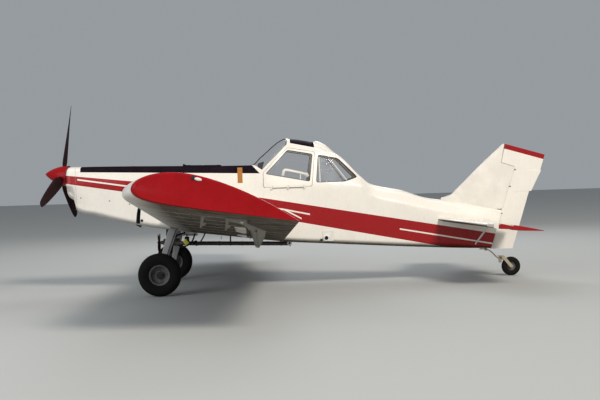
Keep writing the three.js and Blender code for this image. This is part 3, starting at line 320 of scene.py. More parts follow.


# Each finish: the slot it usually stands for, and its material. Each paint darkens its faces that point down
# with painted shade, by the amount given to it
finishes = {
    "livery": ("white_paint", makeLiveryPaint()),
    "white": ("white_paint", makePlainPaint("whitePaint", livery["white"])),
    "red": ("red_paint", makePlainPaint("redPaint", livery["red"], below=0.5, amount=0.3, shine=0.35)),
    "black": (
        "deck_black", makePlainPaint("blackPaint", livery["black"], gloss=0.75, amount=0.3, shine=0.15),
    ),
    "blade": (
        "propeller_paint", makePlainPaint("bladePaint", colour(0.020, 0.008, 0.009), 0.6, 0.2, 0.1, 0.2),
    ),
    "grey": ("gear_paint", makePlainPaint("greyPaint", colour(0.36, 0.36, 0.36), gloss=0.4)),
    "inside": ("inside_grey", makePlainPaint("insidePaint", colour(0.20, 0.205, 0.20), gloss=0.55)),
    "tube": ("tube_white", makePlainPaint("tubePaint", colour(0.82, 0.79, 0.74), gloss=0.35, below=0.2)),
    "engine": ("engine_metal", makeMetal("engineMetal", colour(0.06, 0.055, 0.05), 0.5, 0.5, 0.35)),
    "steel": ("bare_steel", makeMetal("bareSteel", colour(0.30, 0.29, 0.28), 0.42, 0.85, 0.25)),
    "aluminium": ("gate_metal", makeMetal("bareAluminium", colour(0.52, 0.52, 0.51), 0.38, 0.8)),
    "rim": ("rim_metal", makeMetal("rimPaint", colour(0.11, 0.105, 0.105), 0.55, 0.3, 0.1)),
    "tank": ("tank_plastic", makePlainPaint("tankShell", colour(0.46, 0.40, 0.28), gloss=0.5)),
    "panel": ("panel_black", makePlainPaint("panelBlack", colour(0.02, 0.02, 0.022), gloss=0.6, amount=0.3)),
    "rubber": ("tyre_rubber", makeRubber()),
    "cloth": ("seat_fabric", makeCloth()),
    "glass": ("clear_glass", makeGlass()),
    "rudder": ("white_paint", makeCapPaint("rudderPaint", rudderCap)),
    "elevator": ("white_paint", makeCapPaint("elevatorPaint", elevatorEnds)),
    "strap": ("seat_fabric", makePlainPaint("strapWeb", colour(0.10, 0.105, 0.12), gloss=0.8, amount=0.4)),
    "bareGrey": ("gear_paint", makePlainPaint("sheetGrey", colour(0.30, 0.28, 0.24), gloss=0.5)),
    "label": ("gate_metal", makePlainPaint("labelYellow", colour(0.62, 0.55, 0.06), gloss=0.5, amount=0.6)),
    "orange": (
        "tank_plastic", makePlainPaint("sightOrange", colour(0.42, 0.17, 0.035), gloss=0.4, amount=0.6),
    ),
    "tan": ("gear_paint", makePlainPaint("tanPaint", colour(0.42, 0.36, 0.26), gloss=0.6, below=0.4)),
}
# The first finish in the table with a slot is that slot's own
finishOfSlot = {slot: finish for finish, (slot, material) in reversed(finishes.items())}
slotOfNode = {s["node"]: s["material_slot"] for s in frame["record"]["subparts"]}


# Welds a mesh's points nearer than a distance, and turns its faces outward where asked
def welded(mesh, near, outward=False):
    work = bmesh.new()
    work.from_mesh(mesh)
    bmesh.ops.remove_doubles(work, verts=work.verts, dist=near)
    if outward:
        bmesh.ops.recalc_face_normals(work, faces=work.faces)
    work.to_mesh(mesh)
    work.free()
    return mesh


# A piece whose name is a CAD node's with one of these endings replaces that node
nodeEndings = ("dressed", "clear", "padded", "dark", "skin")
remade = set()


def placed(name, mesh, finish, body="airframe", slot=None, replaced=None, angle=32):
    usualSlot, material = finishes[finish]
    stem, ending = name.rsplit("_", 1)
    replaced = stem if replaced is None and ending in nodeEndings else replaced
    mesh.shade_smooth()
    mesh.set_sharp_from_angle(angle=math.radians(angle))
    mesh.materials.clear()
    mesh.materials.append(material)
    piece = bpy.data.objects.new(name, mesh)
    scene.collection.objects.link(piece)
    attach(piece, body)
    if replaced:
        remade.add(replaced)
        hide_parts(replaced)
    return piece


def piece(name, shape, *finish, **settings):
    return placed(name, meshOf(name, shape), *finish, **settings)


# Shapes: a shape is (points, faces), points in millimetres with x as a station


# Faces of a grid whose columns run round when closed is set
def gridFaces(rows, cols, closed=True):
    index = np.arange(rows * cols).reshape(rows, cols)
    a = index if closed else index[:, :-1]
    b = np.roll(index, -1, axis=1) if closed else index[:, 1:]
    return np.stack([a[:-1], b[:-1], b[1:], a[1:]], -1).reshape(-1, 4)


# A closed solid through rings, with flat ends
def loft(grid):
    rows, cols = grid.shape[:2]
    last = (rows - 1) * cols
    ends = [list(range(cols))[::-1], list(range(last, last + cols))]
    return grid.reshape(-1, 3), gridFaces(rows, cols).tolist() + ends


# Faces that close both ways, for a profile that ends where it starts
def ringed(grid):
    rows, cols = grid.shape[:2]
    faces = gridFaces(rows + 1, cols)
    return grid.reshape(-1, 3), np.where(faces >= rows * cols, faces - rows * cols, faces).tolist()


def joined(shapes):
    points, faces, count = [], [], 0
    for p, f in shapes:
        points.append(np.asarray(p, float).reshape(-1, 3))
        faces += [[i + count for i in face] for face in f]
        count += len(points[-1])
    return np.concatenate(points), faces


def moved(shape, offset):
    return np.asarray(shape[0]) + np.asarray(offset, float), shape[1]


def turned(shape, matrix):
    m = np.array(matrix)
    return np.asarray(shape[0]) @ m[:3, :3].T + m[:3, 3], shape[1]


def turn(degrees, axis):
    return Matrix.Rotation(math.radians(degrees), 4, axis)


def shift(x, y, z):
    return Matrix.Translation(Vector((x, y, z)))


# The same shape on the other side, or the shape itself to starboard
def onSide(side, shape):
    if side > 0:
        return shape
    return np.asarray(shape[0]) * (1, -1, 1), [face[::-1] for face in shape[1]]


def bothSides(shape):
    return joined([onSide(-1, shape), shape])


def meshOf(name, shape):
    points = np.asarray(shape[0], float) * 0.001 + (noseX, 0, 0)
    mesh = bpy.data.meshes.new(name)
    mesh.from_pydata(points.tolist(), [], shape[1])
    return welded(mesh, 1e-6, True)


def pointsOf(mesh):
    points = np.empty(len(mesh.vertices) * 3)
    mesh.vertices.foreach_get("co", points)
    return points.reshape(-1, 3)


def evaluated(thing):
    bpy.context.view_layer.update()
    return thing.evaluated_get(bpy.context.evaluated_depsgraph_get())


# The shape after a boolean operation with each other shape in turn
def carved(operation, *shapes):
    spare = []
    for other in shapes:
        piece = bpy.data.objects.new("spare", meshOf("spare", other))
        scene.collection.objects.link(piece)
        spare.append(piece)
        if len(spare) > 1:
            cut = spare[0].modifiers.new("cut", "BOOLEAN")
            cut.operation, cut.solver, cut.object = operation, "EXACT", piece
    mesh = evaluated(spare[0]).data
    made = (pointsOf(mesh) - (noseX, 0, 0)) * 1000, [list(face.vertices) for face in mesh.polygons]
    for piece in spare:
        mesh = piece.data
        bpy.data.objects.remove(piece)
        bpy.data.meshes.remove(mesh)
    return made


def less(*shapes):
    return carved("DIFFERENCE", *shapes)


def within(*shapes):
    return carved("INTERSECT", *shapes)


# Points of a line (a, b) at one y, as (a, y, b)
def atY(points, y):
    flat = np.asarray(points, float)
    return np.column_stack([flat[:, 0], np.full(len(flat), y), flat[:, 1]])


# An outline (x, y) at one height
def atZ(points, z):
    return np.column_stack([points, np.full(len(points), z)])


# An outline (x, z) carried from y0 to y1
def sidePrism(points, y0, y1):
    return loft(np.stack([atY(points, y) for y in (y0, y1)]))


# An outline (y, z) carried from x0 to x1
def frontPrism(points, x0, x1):
    flat = np.asarray(points, float)
    return loft(np.stack([np.column_stack([np.full(len(flat), x), flat]) for x in (x0, x1)]))


def rawBox(x0, x1, y0, y1, z0, z1):
    return frontPrism([(y0, z0), (y1, z0), (y1, z1), (y0, z1)], x0, x1)


# A block with its edges rounded by a radius
def block(x0, x1, y0, y1, z0, z1, edge=3.0):
    low, high = np.array([x0, y0, z0], float), np.array([x1, y1, z1], float)
    work = bmesh.new()
    bmesh.ops.create_cube(work, size=1.0)
    for vertex in work.verts:
        vertex.co = Vector(((low + high) / 2 + np.array(vertex.co) * (high - low)).tolist())
    edge = min(edge, float((high - low).min()) * 0.4)
    bmesh.ops.bevel(work, geom=work.edges[:], offset=edge, segments=2, affect="EDGES", profile=0.5)
    work.verts.index_update()
    points = np.array([vertex.co[:] for vertex in work.verts])
    faces = [[vertex.index for vertex in face.verts] for face in work.faces]
    work.free()
    return points, faces


def unit(vectors):
    return vectors / np.linalg.norm(vectors, axis=1, keepdims=True)


def tangents(path):
    return unit(np.gradient(path, axis=0))


def around(count):
    return np.linspace(0, 2 * math.pi, count, endpoint=False)


# Points on an arc (u, v), angles in degrees
def arc(u, v, radius, a, b, count=10):
    angle = np.radians(np.linspace(a, b, count + 1))
    return np.column_stack([u + radius * np.cos(angle), v + radius * np.sin(angle)])


# A smooth line through points, by Catmull-Rom pieces
def smoothPath(points, steps=8):
    p = np.asarray(points, float)
    p = np.concatenate([2 * p[:1] - p[1:2], p, 2 * p[-1:] - p[-2:-1]])
    t = np.linspace(0, 1, steps, endpoint=False)[None, :, None]
    a, b, c, d = (p[i:len(p) - 3 + i, None, :] for i in range(4))
    made = 0.5 * (2 * b + (c - a) * t + (2 * a - 5 * b + 4 * c - d) * t**2 + (3 * b - a - 3 * c + d) * t**3)
    return np.concatenate([made.reshape(-1, p.shape[1]), p[-2:-1]])


# Circles of unit radius in the planes of u and v, one to a row
def circles(u, v, sides):
    angle = around(sides)[None, :, None]
    return u[:, None] * np.cos(angle) + v[:, None] * np.sin(angle)


# A tube along a path; radius may be one value or one per point
def tube(path, radius, sides=16, guide=(0, 0, 1)):
    path = np.asarray(path, float)
    along = tangents(path)
    u = unit(np.cross(along, np.asarray(guide, float)))
    radius = np.broadcast_to(np.asarray(radius, float), (len(path),))[:, None, None]
    return loft(path[:, None] + circles(u, np.cross(u, along), sides) * radius)


# A tube along a smooth line through points
def bentTube(points, steps, radius, sides=14, guide=(0, 0, 1)):
    return tube(smoothPath(points, steps), radius, sides, guide)


# A straight round bar with slightly rounded ends
def rod(a, b, radius, sides=20, end=None, guide=None):
    a, b = np.asarray(a, float), np.asarray(b, float)
    end = min(1.5, radius * 0.3) if end is None else end
    along = (b - a) / np.linalg.norm(b - a)
    guide = guide or ((0, 0, 1) if abs(along[2]) < 0.9 else (0, 1, 0))
    path = np.array([a, a + along * end, b - along * end, b])
    return tube(path, [radius - end, radius, radius, radius - end], sides, guide)


# A closed profile (radius, distance) turned round an axis through a point
def spun(profile, centre=(0, 0, 0), axis="Y", steps=72):
    profile, angle = np.asarray(profile, float), around(steps)
    r, h = profile[:, :1], np.repeat(profile[:, 1:], steps, 1)
    c, s = r * np.cos(angle), r * np.sin(angle)
    grid = np.stack({"X": [h, c, s], "Y": [c, h, s], "Z": [c, s, h]}[axis], -1) + np.asarray(centre, float)
    return ringed(grid[:-1]) if np.allclose(profile[0], profile[-1]) else loft(grid)


# The profile of a plain ring: two radii and two distances
def ringLine(r0, r1, a, b):
    return [(r0, a), (r1, a), (r1, b), (r0, b), (r0, a)]


# The profile of a plain disc
def discLine(radius, a, b):
    return [(0.1, a), (radius, a), (radius, b), (0.1, b)]


# Low round heads at many points, each along its own normal
def studs(places, normals, radius=4.0, height=2.0, sides=8):
    places = np.asarray(places, float)
    normals = unit(np.broadcast_to(np.asarray(normals, float), places.shape))
    guide = np.where(np.abs(normals[:, :1]) < 0.8, np.array([[1.0, 0, 0]]), np.array([[0, 0, 1.0]]))
    u = unit(np.cross(normals, guide))
    ring = circles(u, np.cross(normals, u), sides)
    levels = [(1.0, -0.6), (1.0, 0.35), (0.7, 0.8), (0.3, 1.0)]
    rows = [places[:, None] + ring * radius * r + normals[:, None] * height * h for r, h in levels]
    size = len(levels) * sides
    starts = (np.arange(len(places)) * size)[:, None]
    faces = (gridFaces(len(levels), sides)[None] + starts[..., None]).reshape(-1, 4).tolist()
    faces += (starts + np.arange(sides)[::-1]).tolist()
    faces += (starts + size - sides + np.arange(sides)).tolist()
    return np.stack(rows, 1).reshape(-1, 3), faces


# Lengths along a line from its start
def runOf(line):
    return np.concatenate([[0], np.cumsum(np.linalg.norm(np.diff(line, axis=0), axis=1))])


# Points of a line at given lengths along it
def alongLine(at, run, line):
    return np.column_stack([np.interp(at, run, column) for column in line.T])


# Evenly spaced points round a closed outline
def spaced(points, gap):
    p = np.asarray(points, float)
    p = np.concatenate([p, p[:1]])
    run = runOf(p)
    return alongLine(np.linspace(0, run[-1], max(int(run[-1] / gap), 1), endpoint=False), run, p)


# Monotone cubic through a table's columns, so that smooth runs stay smooth and never overshoot
def throughTable(table, at):
    table, at = np.asarray(table, float), np.asarray(at, float)
    x, y = table[:, 0], table[:, 1:]
    h = np.diff(x)[:, None]
    slope = np.diff(y, axis=0) / h
    a, b = slope[:-1], slope[1:]
    wa, wb = 2 * h[1:] + h[:-1], h[1:] + 2 * h[:-1]
    same = a * b > 0
    mean = (wa + wb) / (wa / np.where(same, a, 1) + wb / np.where(same, b, 1))
    tangent = np.concatenate([slope[:1], np.where(same, mean, 0), slope[-1:]])
    i = np.clip(np.searchsorted(x, at, side="right") - 1, 0, len(x) - 2)
    t = ((at - x[i]) / h[i, 0])[:, None]
    h00, h10 = 2 * t**3 - 3 * t**2 + 1, t**3 - 2 * t**2 + t
    h01, h11 = 3 * t**2 - 2 * t**3, t**3 - t**2
    return h00 * y[i] + h10 * h[i] * tangent[i] + h01 * y[i + 1] + h11 * h[i] * tangent[i + 1]


# The directions of an outline's sides before and after each corner, and their lengths
def sidesOf(p):
    before, after = p - np.roll(p, 1, axis=0), np.roll(p, -1, axis=0) - p
    return before, after, *(np.linalg.norm(v, axis=1, keepdims=True) for v in (before, after))


# The outline moved outward (or inward, where by is negative) on every side
def grown(points, by):
    p = np.asarray(points, float)
    after = np.roll(p, -1, axis=0)
    area = np.sum(p[:, 0] * after[:, 1] - after[:, 0] * p[:, 1])
    before, after, la, lb = sidesOf(p)
    a, b = before / la, after / lb
    na, nb = np.column_stack([a[:, 1], -a[:, 0]]), np.column_stack([b[:, 1], -b[:, 0]])
    way = 1 if area > 0 else -1
    return p + way * by * (na + nb) / (1 + np.sum(na * nb, axis=1, keepdims=True))


# The outline with its corners rounded by a radius
def rounded(points, radius, count=5):
    p = np.asarray(points, float)
    before, after, la, lb = sidesOf(p)
    cut = np.minimum(radius, 0.45 * np.minimum(la, lb))
    start, end = p - before / la * cut, p + after / lb * cut
    t = np.linspace(0, 1, count + 1)[None, :, None]
    bend = (1 - t) ** 2 * start[:, None] + 2 * t * (1 - t) * p[:, None] + t**2 * end[:, None]
    return bend.reshape(-1, 2)


# The corners of an upright or level rectangle
def corners(a0, a1, b0, b1):
    return [(a0, b0), (a1, b0), (a1, b1), (a0, b1)]


# Half a closed section and its mirror image, without the points they share at the start
def mirrored(face, signs=(1, -1, 1)):
    return loft(np.concatenate([face, face[:, :0:-1] * signs], 1))


# Fuselage form
hull = {
    # station, bottom, half-width below, at the waist, waist height, half-width at the shoulder,
    # shoulder height, top, squareness of the top
    "table": [
        [380, 1660, 150, 240, 1730, 215, 1780, 1810, 2],
        [388, 1600, 210, 300, 1730, 280, 1830, 1880, 2],
        [404, 1575, 260, 345, 1730, 325, 1900, 1975, 2.5],
        [430, 1538, 290, 365, 1730, 350, 1930, 2027, 3],
        [480, 1500, 300, 375, 1730, 365, 1930, 2029, 3.5],
        [505, 1482, 302, 376, 1730, 366, 1930, 2029, 3.5],
        [545, 1324, 306, 380, 1730, 369, 1929, 2028, 3.6],
        [876, 1223, 340, 410, 1730, 400, 1920, 2025, 4],
        [1462, 1073, 420, 480, 1700, 468, 1905, 2015, 4],
        [1936, 983, 450, 500, 1650, 485, 1895, 2004, 4],
        [3406, 779, 470, 500, 1650, 487, 1885, 1976, 4],
        [3563, 757, 470, 500, 1650, 488, 1856, 2108, 2.6],
        [4003, 704, 465, 500, 1640, 300, 2272, 2398, 2.3],
        [4411, 673, 455, 495, 1630, 300, 2195, 2338, 2.2],
        [4714, 651, 440, 480, 1620, 285, 2085, 2166, 2.4],
        [4830, 642, 430, 470, 1615, 270, 2045, 2112, 2.4],
        [5173, 616, 400, 435, 1590, 300, 1715, 1768, 2.4],
        [5354, 602, 380, 410, 1420, 300, 1560, 1620, 2.4],
        [5873, 563, 320, 345, 1280, 240, 1440, 1496, 2.4],
        [6292, 534, 265, 285, 1180, 180, 1300, 1357, 2.3],
        [6717, 505, 205, 215, 1090, 125, 1235, 1290, 2.3],
        [7250, 480, 120, 120, 980, 70, 1130, 1180, 2],
        [7620, 470, 60, 55, 900, 38, 1060, 1110, 2],
    ],
    "corner": 100.0,
    "soft": 3.0,  # rounding where the two side lines meet at the waist
    "step": 26.0,
}


# Rings of the fuselage at stations x, drawn in by a wall: a flat bottom, a quarter circle, two side
# lines that meet softly, and a quarter of a superellipse above the shoulder
def hullGrid(x, wall=0.0):
    x = np.asarray(x, float)
    columns = throughTable(hull["table"], x).T
    bottom, low, waist, waistZ, shoulder, shoulderZ, top, square = (c[:, None] for c in columns)
    corner = np.minimum(hull["corner"], low * 0.5)
    waistZ = np.maximum(waistZ, bottom + corner + 12)
    shoulderZ = np.maximum(shoulderZ, waistZ + 12)
    flatY = np.linspace(0, 1, 4, endpoint=False)[None] * (low - corner)
    flatZ = np.broadcast_to(bottom + wall, flatY.shape)
    angle = np.radians(np.linspace(-90, 0, 9))[None]
    bendY = low - corner + (corner - wall) * np.cos(angle)
    bendZ = bottom + corner + (corner - wall) * np.sin(angle)
    rise = np.linspace(0, 1, 20)[None, 1:-1] ** 0.8
    sideZ = bottom + corner + (shoulderZ - bottom - corner) * rise
    lineA = low + (waist - low) * (sideZ - bottom - corner) / (waistZ - bottom - corner)
    lineB = waist + (shoulder - waist) * (sideZ - waistZ) / (shoulderZ - waistZ)
    soft = hull["soft"]
    sideY = -soft * np.logaddexp(-lineA / soft, -lineB / soft) - wall
    polar = np.radians(np.linspace(0, 90, 19))[None]
    reach = (np.cos(polar) ** square + np.abs(np.sin(polar)) ** square) ** (-1 / square)
    topY = (shoulder - wall) * np.cos(polar) * reach
    topZ = shoulderZ + (top - wall - shoulderZ) * np.sin(polar) * reach
    y = np.concatenate([flatY, bendY, sideY, topY], 1)
    z = np.concatenate([flatZ, bendZ, sideZ, topZ], 1)
    y[:, -1] = 0
    right = np.stack([np.broadcast_to(x[:, None], y.shape), y, z], -1)
    return np.concatenate([right, right[:, -2:0:-1] * (1, -1, 1)], 1)


def hullRows(x0, x1, gap=None):
    marks = np.array([row[0] for row in hull["table"] if x0 + 6 < row[0] < x1 - 6])
    count = max(int((x1 - x0) / (gap or hull["step"])), 1)
    rows = np.unique(np.concatenate([np.linspace(x0, x1, count + 1), marks]))
    return rows[np.concatenate([[True], np.diff(rows) > 4])]


# A tube of the fuselage's skin from x0 to x1
def hullShell(x0, x1, wall, depth=0.0, gap=None):
    rows = hullRows(x0, x1, gap)
    return ringed(np.concatenate([hullGrid(rows, depth), hullGrid(rows, wall)[::-1]]))


def hullSolid(x0, x1, depth=0.0, gap=None):
    return loft(hullGrid(hullRows(x0, x1, gap), depth))


# Half-width of the skin at (x, z), by looking along the ring at that station
def hullY(x, z):
    x, z = np.atleast_1d(x).astype(float), np.atleast_1d(z).astype(float)
    ring = hullGrid(x)
    half = ring[:, 4:ring.shape[1] // 2 + 1]
    return np.array([np.interp(b, row[:, 2], row[:, 1]) for b, row in zip(z, half)])


# Places on the skin at (x, z) on one side and the skin's outward direction there
def onSkin(points, side=-1, off=0.0):
    x, z = np.asarray(points, float).T
    slopeX = (hullY(x + 5, z) - hullY(x - 5, z)) / 10
    slopeZ = (hullY(x, z + 5) - hullY(x, z - 5)) / 10
    normal = unit(np.column_stack([-slopeX, np.ones(len(x)), -slopeZ]))
    return (np.column_stack([x, hullY(x, z), z]) + normal * off) * (1, side, 1), normal * (1, side, 1)


print("stage: cowl and hopper bay")

# Outlines (station, height) shared by the cabin's pieces
cabinLines = {
    "door": [[3583, 1606], [3583, 1842], [3985, 2240], [4432, 2163], [4362, 1606]],
    "doorWindow": [[3618, 1822], [3988, 2206], [4398, 2130], [4332, 1680]],
    "windscreen": [[3436, 1974], [3566, 1890], [3980, 2300], [4003, 2500], [3300, 2500], [3300, 2050]],
    "rearWindow": [[4487, 2118], [4818, 2051], [5126, 1732], [4911, 1662], [4434, 1660]],
    "round": 26.0, "doorRound": 30, "rearRound": 40,
}
thrust = {"hub": (300.0, 0.0, 1929 - 300 * math.tan(math.radians(6.4))), "tilt": 6.4, "toe": -5.8}
thrustMatrix = shift(*thrust["hub"]) @ (turn(thrust["toe"], "Z") @ turn(thrust["tilt"], "Y"))


def alongThrust(distance):
    return np.array(thrustMatrix @ Vector((distance, 0, 0)))


cowl = {
    "front": 380, "end": 1460.5, "wall": 12, "bayRadius": 183,
    "inlets": [(262, 1786), (-262, 1786)],  # centres (y, z) of the cooling inlets beside the spinner
    "inletHalf": (66, 44),
    "seam": 560,  # the nose bowl ends here
    "exit": [(1560, 1390), (1608, 1390), (1590, 1240), (1574, 1080), (1508, 1080), (1528, 1240)],
    "latches": [(632, 1523), (1096, 1461), (1420, 1400)],
}


# The cowl is the fuselage's form with the spinner's bay and the cooling inlets cut in its front
def makeCowl(values):
    outer = hullGrid(hullRows(values["front"], values["end"], 18))
    inner = hullGrid(hullRows(416, values["end"] + 30, 40), values["wall"])
    cutters = [loft(inner), rod(alongThrust(-200), alongThrust(112), values["bayRadius"], 48, 0.1)]
    cutters.append(rod(alongThrust(0), alongThrust(330), 80, 32, 0.1))
    for y, z in values["inlets"]:
        cutters.append(frontPrism(arc(0, 0, 1, 0, 345, 23) * values["inletHalf"] + (y, z), 250, 520))
    return less(loft(outer), *cutters)


piece("cowl_dressed", makeCowl(cowl), "livery")


# Rows of fastener heads round the skin at stations, each on the outward normal of its ring
def seamHeads(stations, radius, height, gap=58):
    places, normals = [], []
    for x in stations:
        line = hullGrid([x - 3, x + 3]).mean(0)
        line = np.concatenate([line, line[:1]])
        run = runOf(line)
        at = np.arange(gap / 2, run[-1], gap)
        p = alongLine(at, run, line)
        ahead, back = (alongLine(a, run, line) for a in (np.minimum(at + 4, run[-1]), at - 4))
        normal = np.cross(ahead - back, (1.0, 0, 0))
        places.append(p)
        normals.append(normal * np.sign(np.sum(normal * (p - line.mean(0)), axis=1, keepdims=True)))
    return studs(np.concatenate(places), np.concatenate(normals), radius, height)


def cowlLatches(values):
    shapes = []
    for side in (-1, 1):
        p, n = onSkin(values["latches"], side)
        shapes += [studs(p, n, 13, 2.5, 20), studs(p + n * 2.4, n, 6, 3.0, 6)]
    return joined(shapes)


cowlRows = [cowl["end"] - 22, cowl["seam"] + 16, cowl["seam"] - 16]
piece("cowl_fasteners", seamHeads(cowlRows, 5.0, 1.6), "livery")
piece("cowl_latches", cowlLatches(cowl), "grey", slot="bare_steel")


# A strip round the skin at a station, standing out by off
def ringStrip(x, wide, off, deep=4.0):
    rows = [x - wide / 2, x - wide / 2 + 0.8, x + wide / 2 - 0.8, x + wide / 2]
    outer = hullGrid(rows, -off)
    outer[[0, -1]] = hullGrid([rows[0], rows[-1]], 0.0)
    return ringed(np.concatenate([outer, hullGrid(rows, deep)[::-1]]))


piece("cowl_seams", ringStrip(cowl["seam"], 3, 0.3), "inside")
piece("cowl_joint_strip", ringStrip(1467.5, 30, 1.2, 3.0), "livery")

bay = {
    "x0": 1474.4, "x1": 3406, "wall": 14, "hatch": (2320, 2880, 230), "outlet": (2222, 2472, 125),
    "lugs": [-200, 0, 200], "lugX": 2288, "lugZ": 2017, "seams": [1940, 2700, 3150],
}


# The hopper bay's skin with the filling hole, the outlet and the cooling exits cut out
def makeBay(values):
    (x0, x1, w), (g0, g1, gw) = values["hatch"], values["outlet"]
    cutters = [rawBox(x0, x1, -w, w, 1850, 2100), rawBox(g0, g1, -gw, gw, 700, 1050)]
    cutters += [sidePrism(rounded(cowl["exit"], 8, 3), *ends) for ends in ((-700, -330), (330, 700))]
    body = less(hullShell(values["x0"], values["x1"], values["wall"]), *cutters)
    x, z = values["lugX"], values["lugZ"]
    lugs = [block(x - 12, x + 12, y - 12, y + 12, 1990, z + 9, 3) for y in values["lugs"]]
    return joined([body, *lugs, rod((x, -206, z), (x, 206, z), 5, 16)])


# A dark duct wall behind each cooling exit, painted shade so that the slot reads as deep
def exitShadeWalls():
    return joined([sidePrism(grown(cowl["exit"], 6), *ends) for ends in ((-330, -322), (322, 330))])


piece("hopper_bay_dressed", makeBay(bay), "livery")
piece("cooling_exits", exitShadeWalls(), "panel")
bayRows = [bay["x0"] + 22, *bay["seams"], bay["x1"] - 24]
piece("bay_fasteners", seamHeads(bayRows, 4.5, 1.4, 72), "livery")
piece("bay_seams", joined([ringStrip(x, 3, 0.4) for x in bay["seams"]]), "livery")

lid = {
    "x0": 2304, "x1": 2896, "w": 250, "z0": 1999, "slope": 0.019, "thick": 6, "axis": (2288, 2017),
    "straps": [-160, 40], "bead": (60, 2.0),
}


# The lid: a pressed plate with a raised panel and two hinge straps with barrels
def makeLid(values):
    x0, x1, w, z0, thick = (values[k] for k in ("x0", "x1", "w", "z0", "thick"))
    outline = rounded(corners(x0, x1, -w, w), 40, 6)
    inset, rise = values["bead"]
    top = [(inset - 12, thick), (inset, thick + rise), (inset + 16, thick + rise)]
    rows = []
    for d, h in [(0, 0), (0, thick - 3), (3, thick), *top]:
        edge = grown(outline, -d)
        rows.append(np.column_stack([edge, z0 + h - (edge[:, 0] - x0) * values["slope"]]))
    shapes = [loft(np.stack(rows))]
    axisX, axisZ = values["axis"]
    for y in values["straps"]:
        shapes.append(spun(ringLine(5.6, 10, 0, 120), (axisX, y, axisZ), "Y", 24))
        shapes.append(block(axisX + 8, x0 + 90, y, y + 120, z0 + thick - 6, z0 + thick + 5, 2))
    return joined(shapes)


def lidHandle(values):
    z = values["z0"] + values["thick"] - 10
    grip = [(2840, -70, z), (2846, -64, z + 11), (2846, 0, z + 12), (2846, 64, z + 11), (2840, 70, z)]
    clips = [(2600, -238), (2600, 238), (2884, -130), (2884, 130)]
    clips = [block(x - 16, x + 16, y - 12, y + 12, z - 2, z + 5, 2) for x, y in clips]
    return joined([bentTube(grip, 6, 5, 12, (1, 0, 0)), *clips])


piece("hopper_lid_dressed", makeLid(lid), "black", "hopper_lid")
piece("lid_handle", lidHandle(lid), "steel", "hopper_lid")

print("stage: cabin")

cabin = {"x0": 3406.3, "x1": 5185, "wall": 26, "shelf": 1632, "backX": 4640, "seam": 6}
doorLugs = {"x": [3700, 3965, 4230], "y": 511, "z": 1600, "pin": 5, "barrels": (3728, 3993), "long": 229}


# The cabin's skin with its doors and windows cut out, open below the shelf at the back
def makeCabinShell(values):
    lines, r = cabinLines, cabinLines["round"]
    return less(
        hullShell(values["x0"], values["x1"], values["wall"], 0, 20),
        rawBox(values["backX"], values["x1"] + 50, -600, 600, 400, values["shelf"] + 0.3),
        sidePrism(lines["windscreen"], -600, 600),
        sidePrism(rounded(grown(lines["door"], values["seam"]), r), -600, 600),
        sidePrism(rounded(lines["rearWindow"], lines["rearRound"]), -600, 600),
        frontPrism(corners(-264, 264, 2200, 2500), 4060, 4400),
    )


def makeDoorPins(values):
    y, z, x = values["y"], values["z"], values["x"]
    lugs = [block(a, a + 20, 485, y + 8, z - 34, z + 5, 3) for a in x]
    return bothSides(joined([rod((x[0], y, z), (x[2] + 20, y, z), values["pin"], 16), *lugs]))


piece("cabin_shell_dressed", makeCabinShell(cabin), "livery")
piece("door_hinge_pins", makeDoorPins(doorLugs), "white")


# The door's skin without its window, and two hinge barrels on plates
def makeDoor(values):
    lines, y, z, long = cabinLines, doorLugs["y"], doorLugs["z"], doorLugs["long"]
    skin = hullShell(3500, 4500, values["wall"], 0, 20)
    cut = within(skin, sidePrism(rounded(lines["door"], lines["round"]), 0, 600))
    shapes = [less(cut, sidePrism(rounded(lines["doorWindow"], lines["doorRound"]), 0, 600))]
    for x in doorLugs["barrels"]:
        shapes.append(spun(ringLine(5.6, 10, 0, long), (x, y, z), "X", 24))
        shapes.append(block(x, x + long, 492, y + 5, z + 6, z + 40, 2))
    return joined(shapes)


# A strip with a rounded face that follows the skin round a window
def skinFrame(outline, side, wide=7, out=2.0, inward=2.0):
    line = spaced(outline, 14)
    grow = [1, 1, -wide * 0.5, -wide, -wide]
    offs = [-inward, out * 0.6, out, out * 0.6, -inward]
    return onSide(side, ringed(np.stack([onSkin(grown(line, g), 1, off)[0] for g, off in zip(grow, offs)])))


# A pane of the skin's form inside an outline
def pane(outline, depth, wall, y0, y1):
    return within(hullShell(3300, 5250, wall, depth, 20), sidePrism(outline, y0, y1))


doorShape = makeDoor(cabin)
windows = {}
for key, r in (("doorWindow", cabinLines["doorRound"]), ("rearWindow", cabinLines["rearRound"])):
    windows[key] = pane(rounded(grown(cabinLines[key], -0.4), r), 3, 8, 0, 600), rounded(cabinLines[key], r)
for side, word in sideWords:
    door = "door_" + word
    piece(door + "_dressed", onSide(side, doorShape), "livery", door)
    for key, name, body in (("doorWindow", "door", door), ("rearWindow", "rear", "airframe")):
        glass, outline = windows[key]
        stem = "door_glass_" if name == "door" else "rear_window_"
        piece(stem + word + "_clear", onSide(side, glass), "glass", body)
        piece(name + "_window_seal_" + word, skinFrame(outline, side), "panel", body, slot="tyre_rubber")
piece("windscreen_clear", pane(grown(cabinLines["windscreen"], -0.4), 3, 9, -600, 600), "glass")


# The thin black strip that stands on the windscreen's centre line
def makeDeflector():
    x = np.linspace(3412, 3985, 26)
    line = np.column_stack([x, np.zeros(len(x)), throughTable(hull["table"], x)[:, 6] + 5])
    return tube(line, 8, 10, (0, 1, 0))


piece("wire_deflector", makeDeflector(), "panel")
piece("deflector_bracket", block(3975, 4012, -9, 9, 2388, 2412, 3), "white")


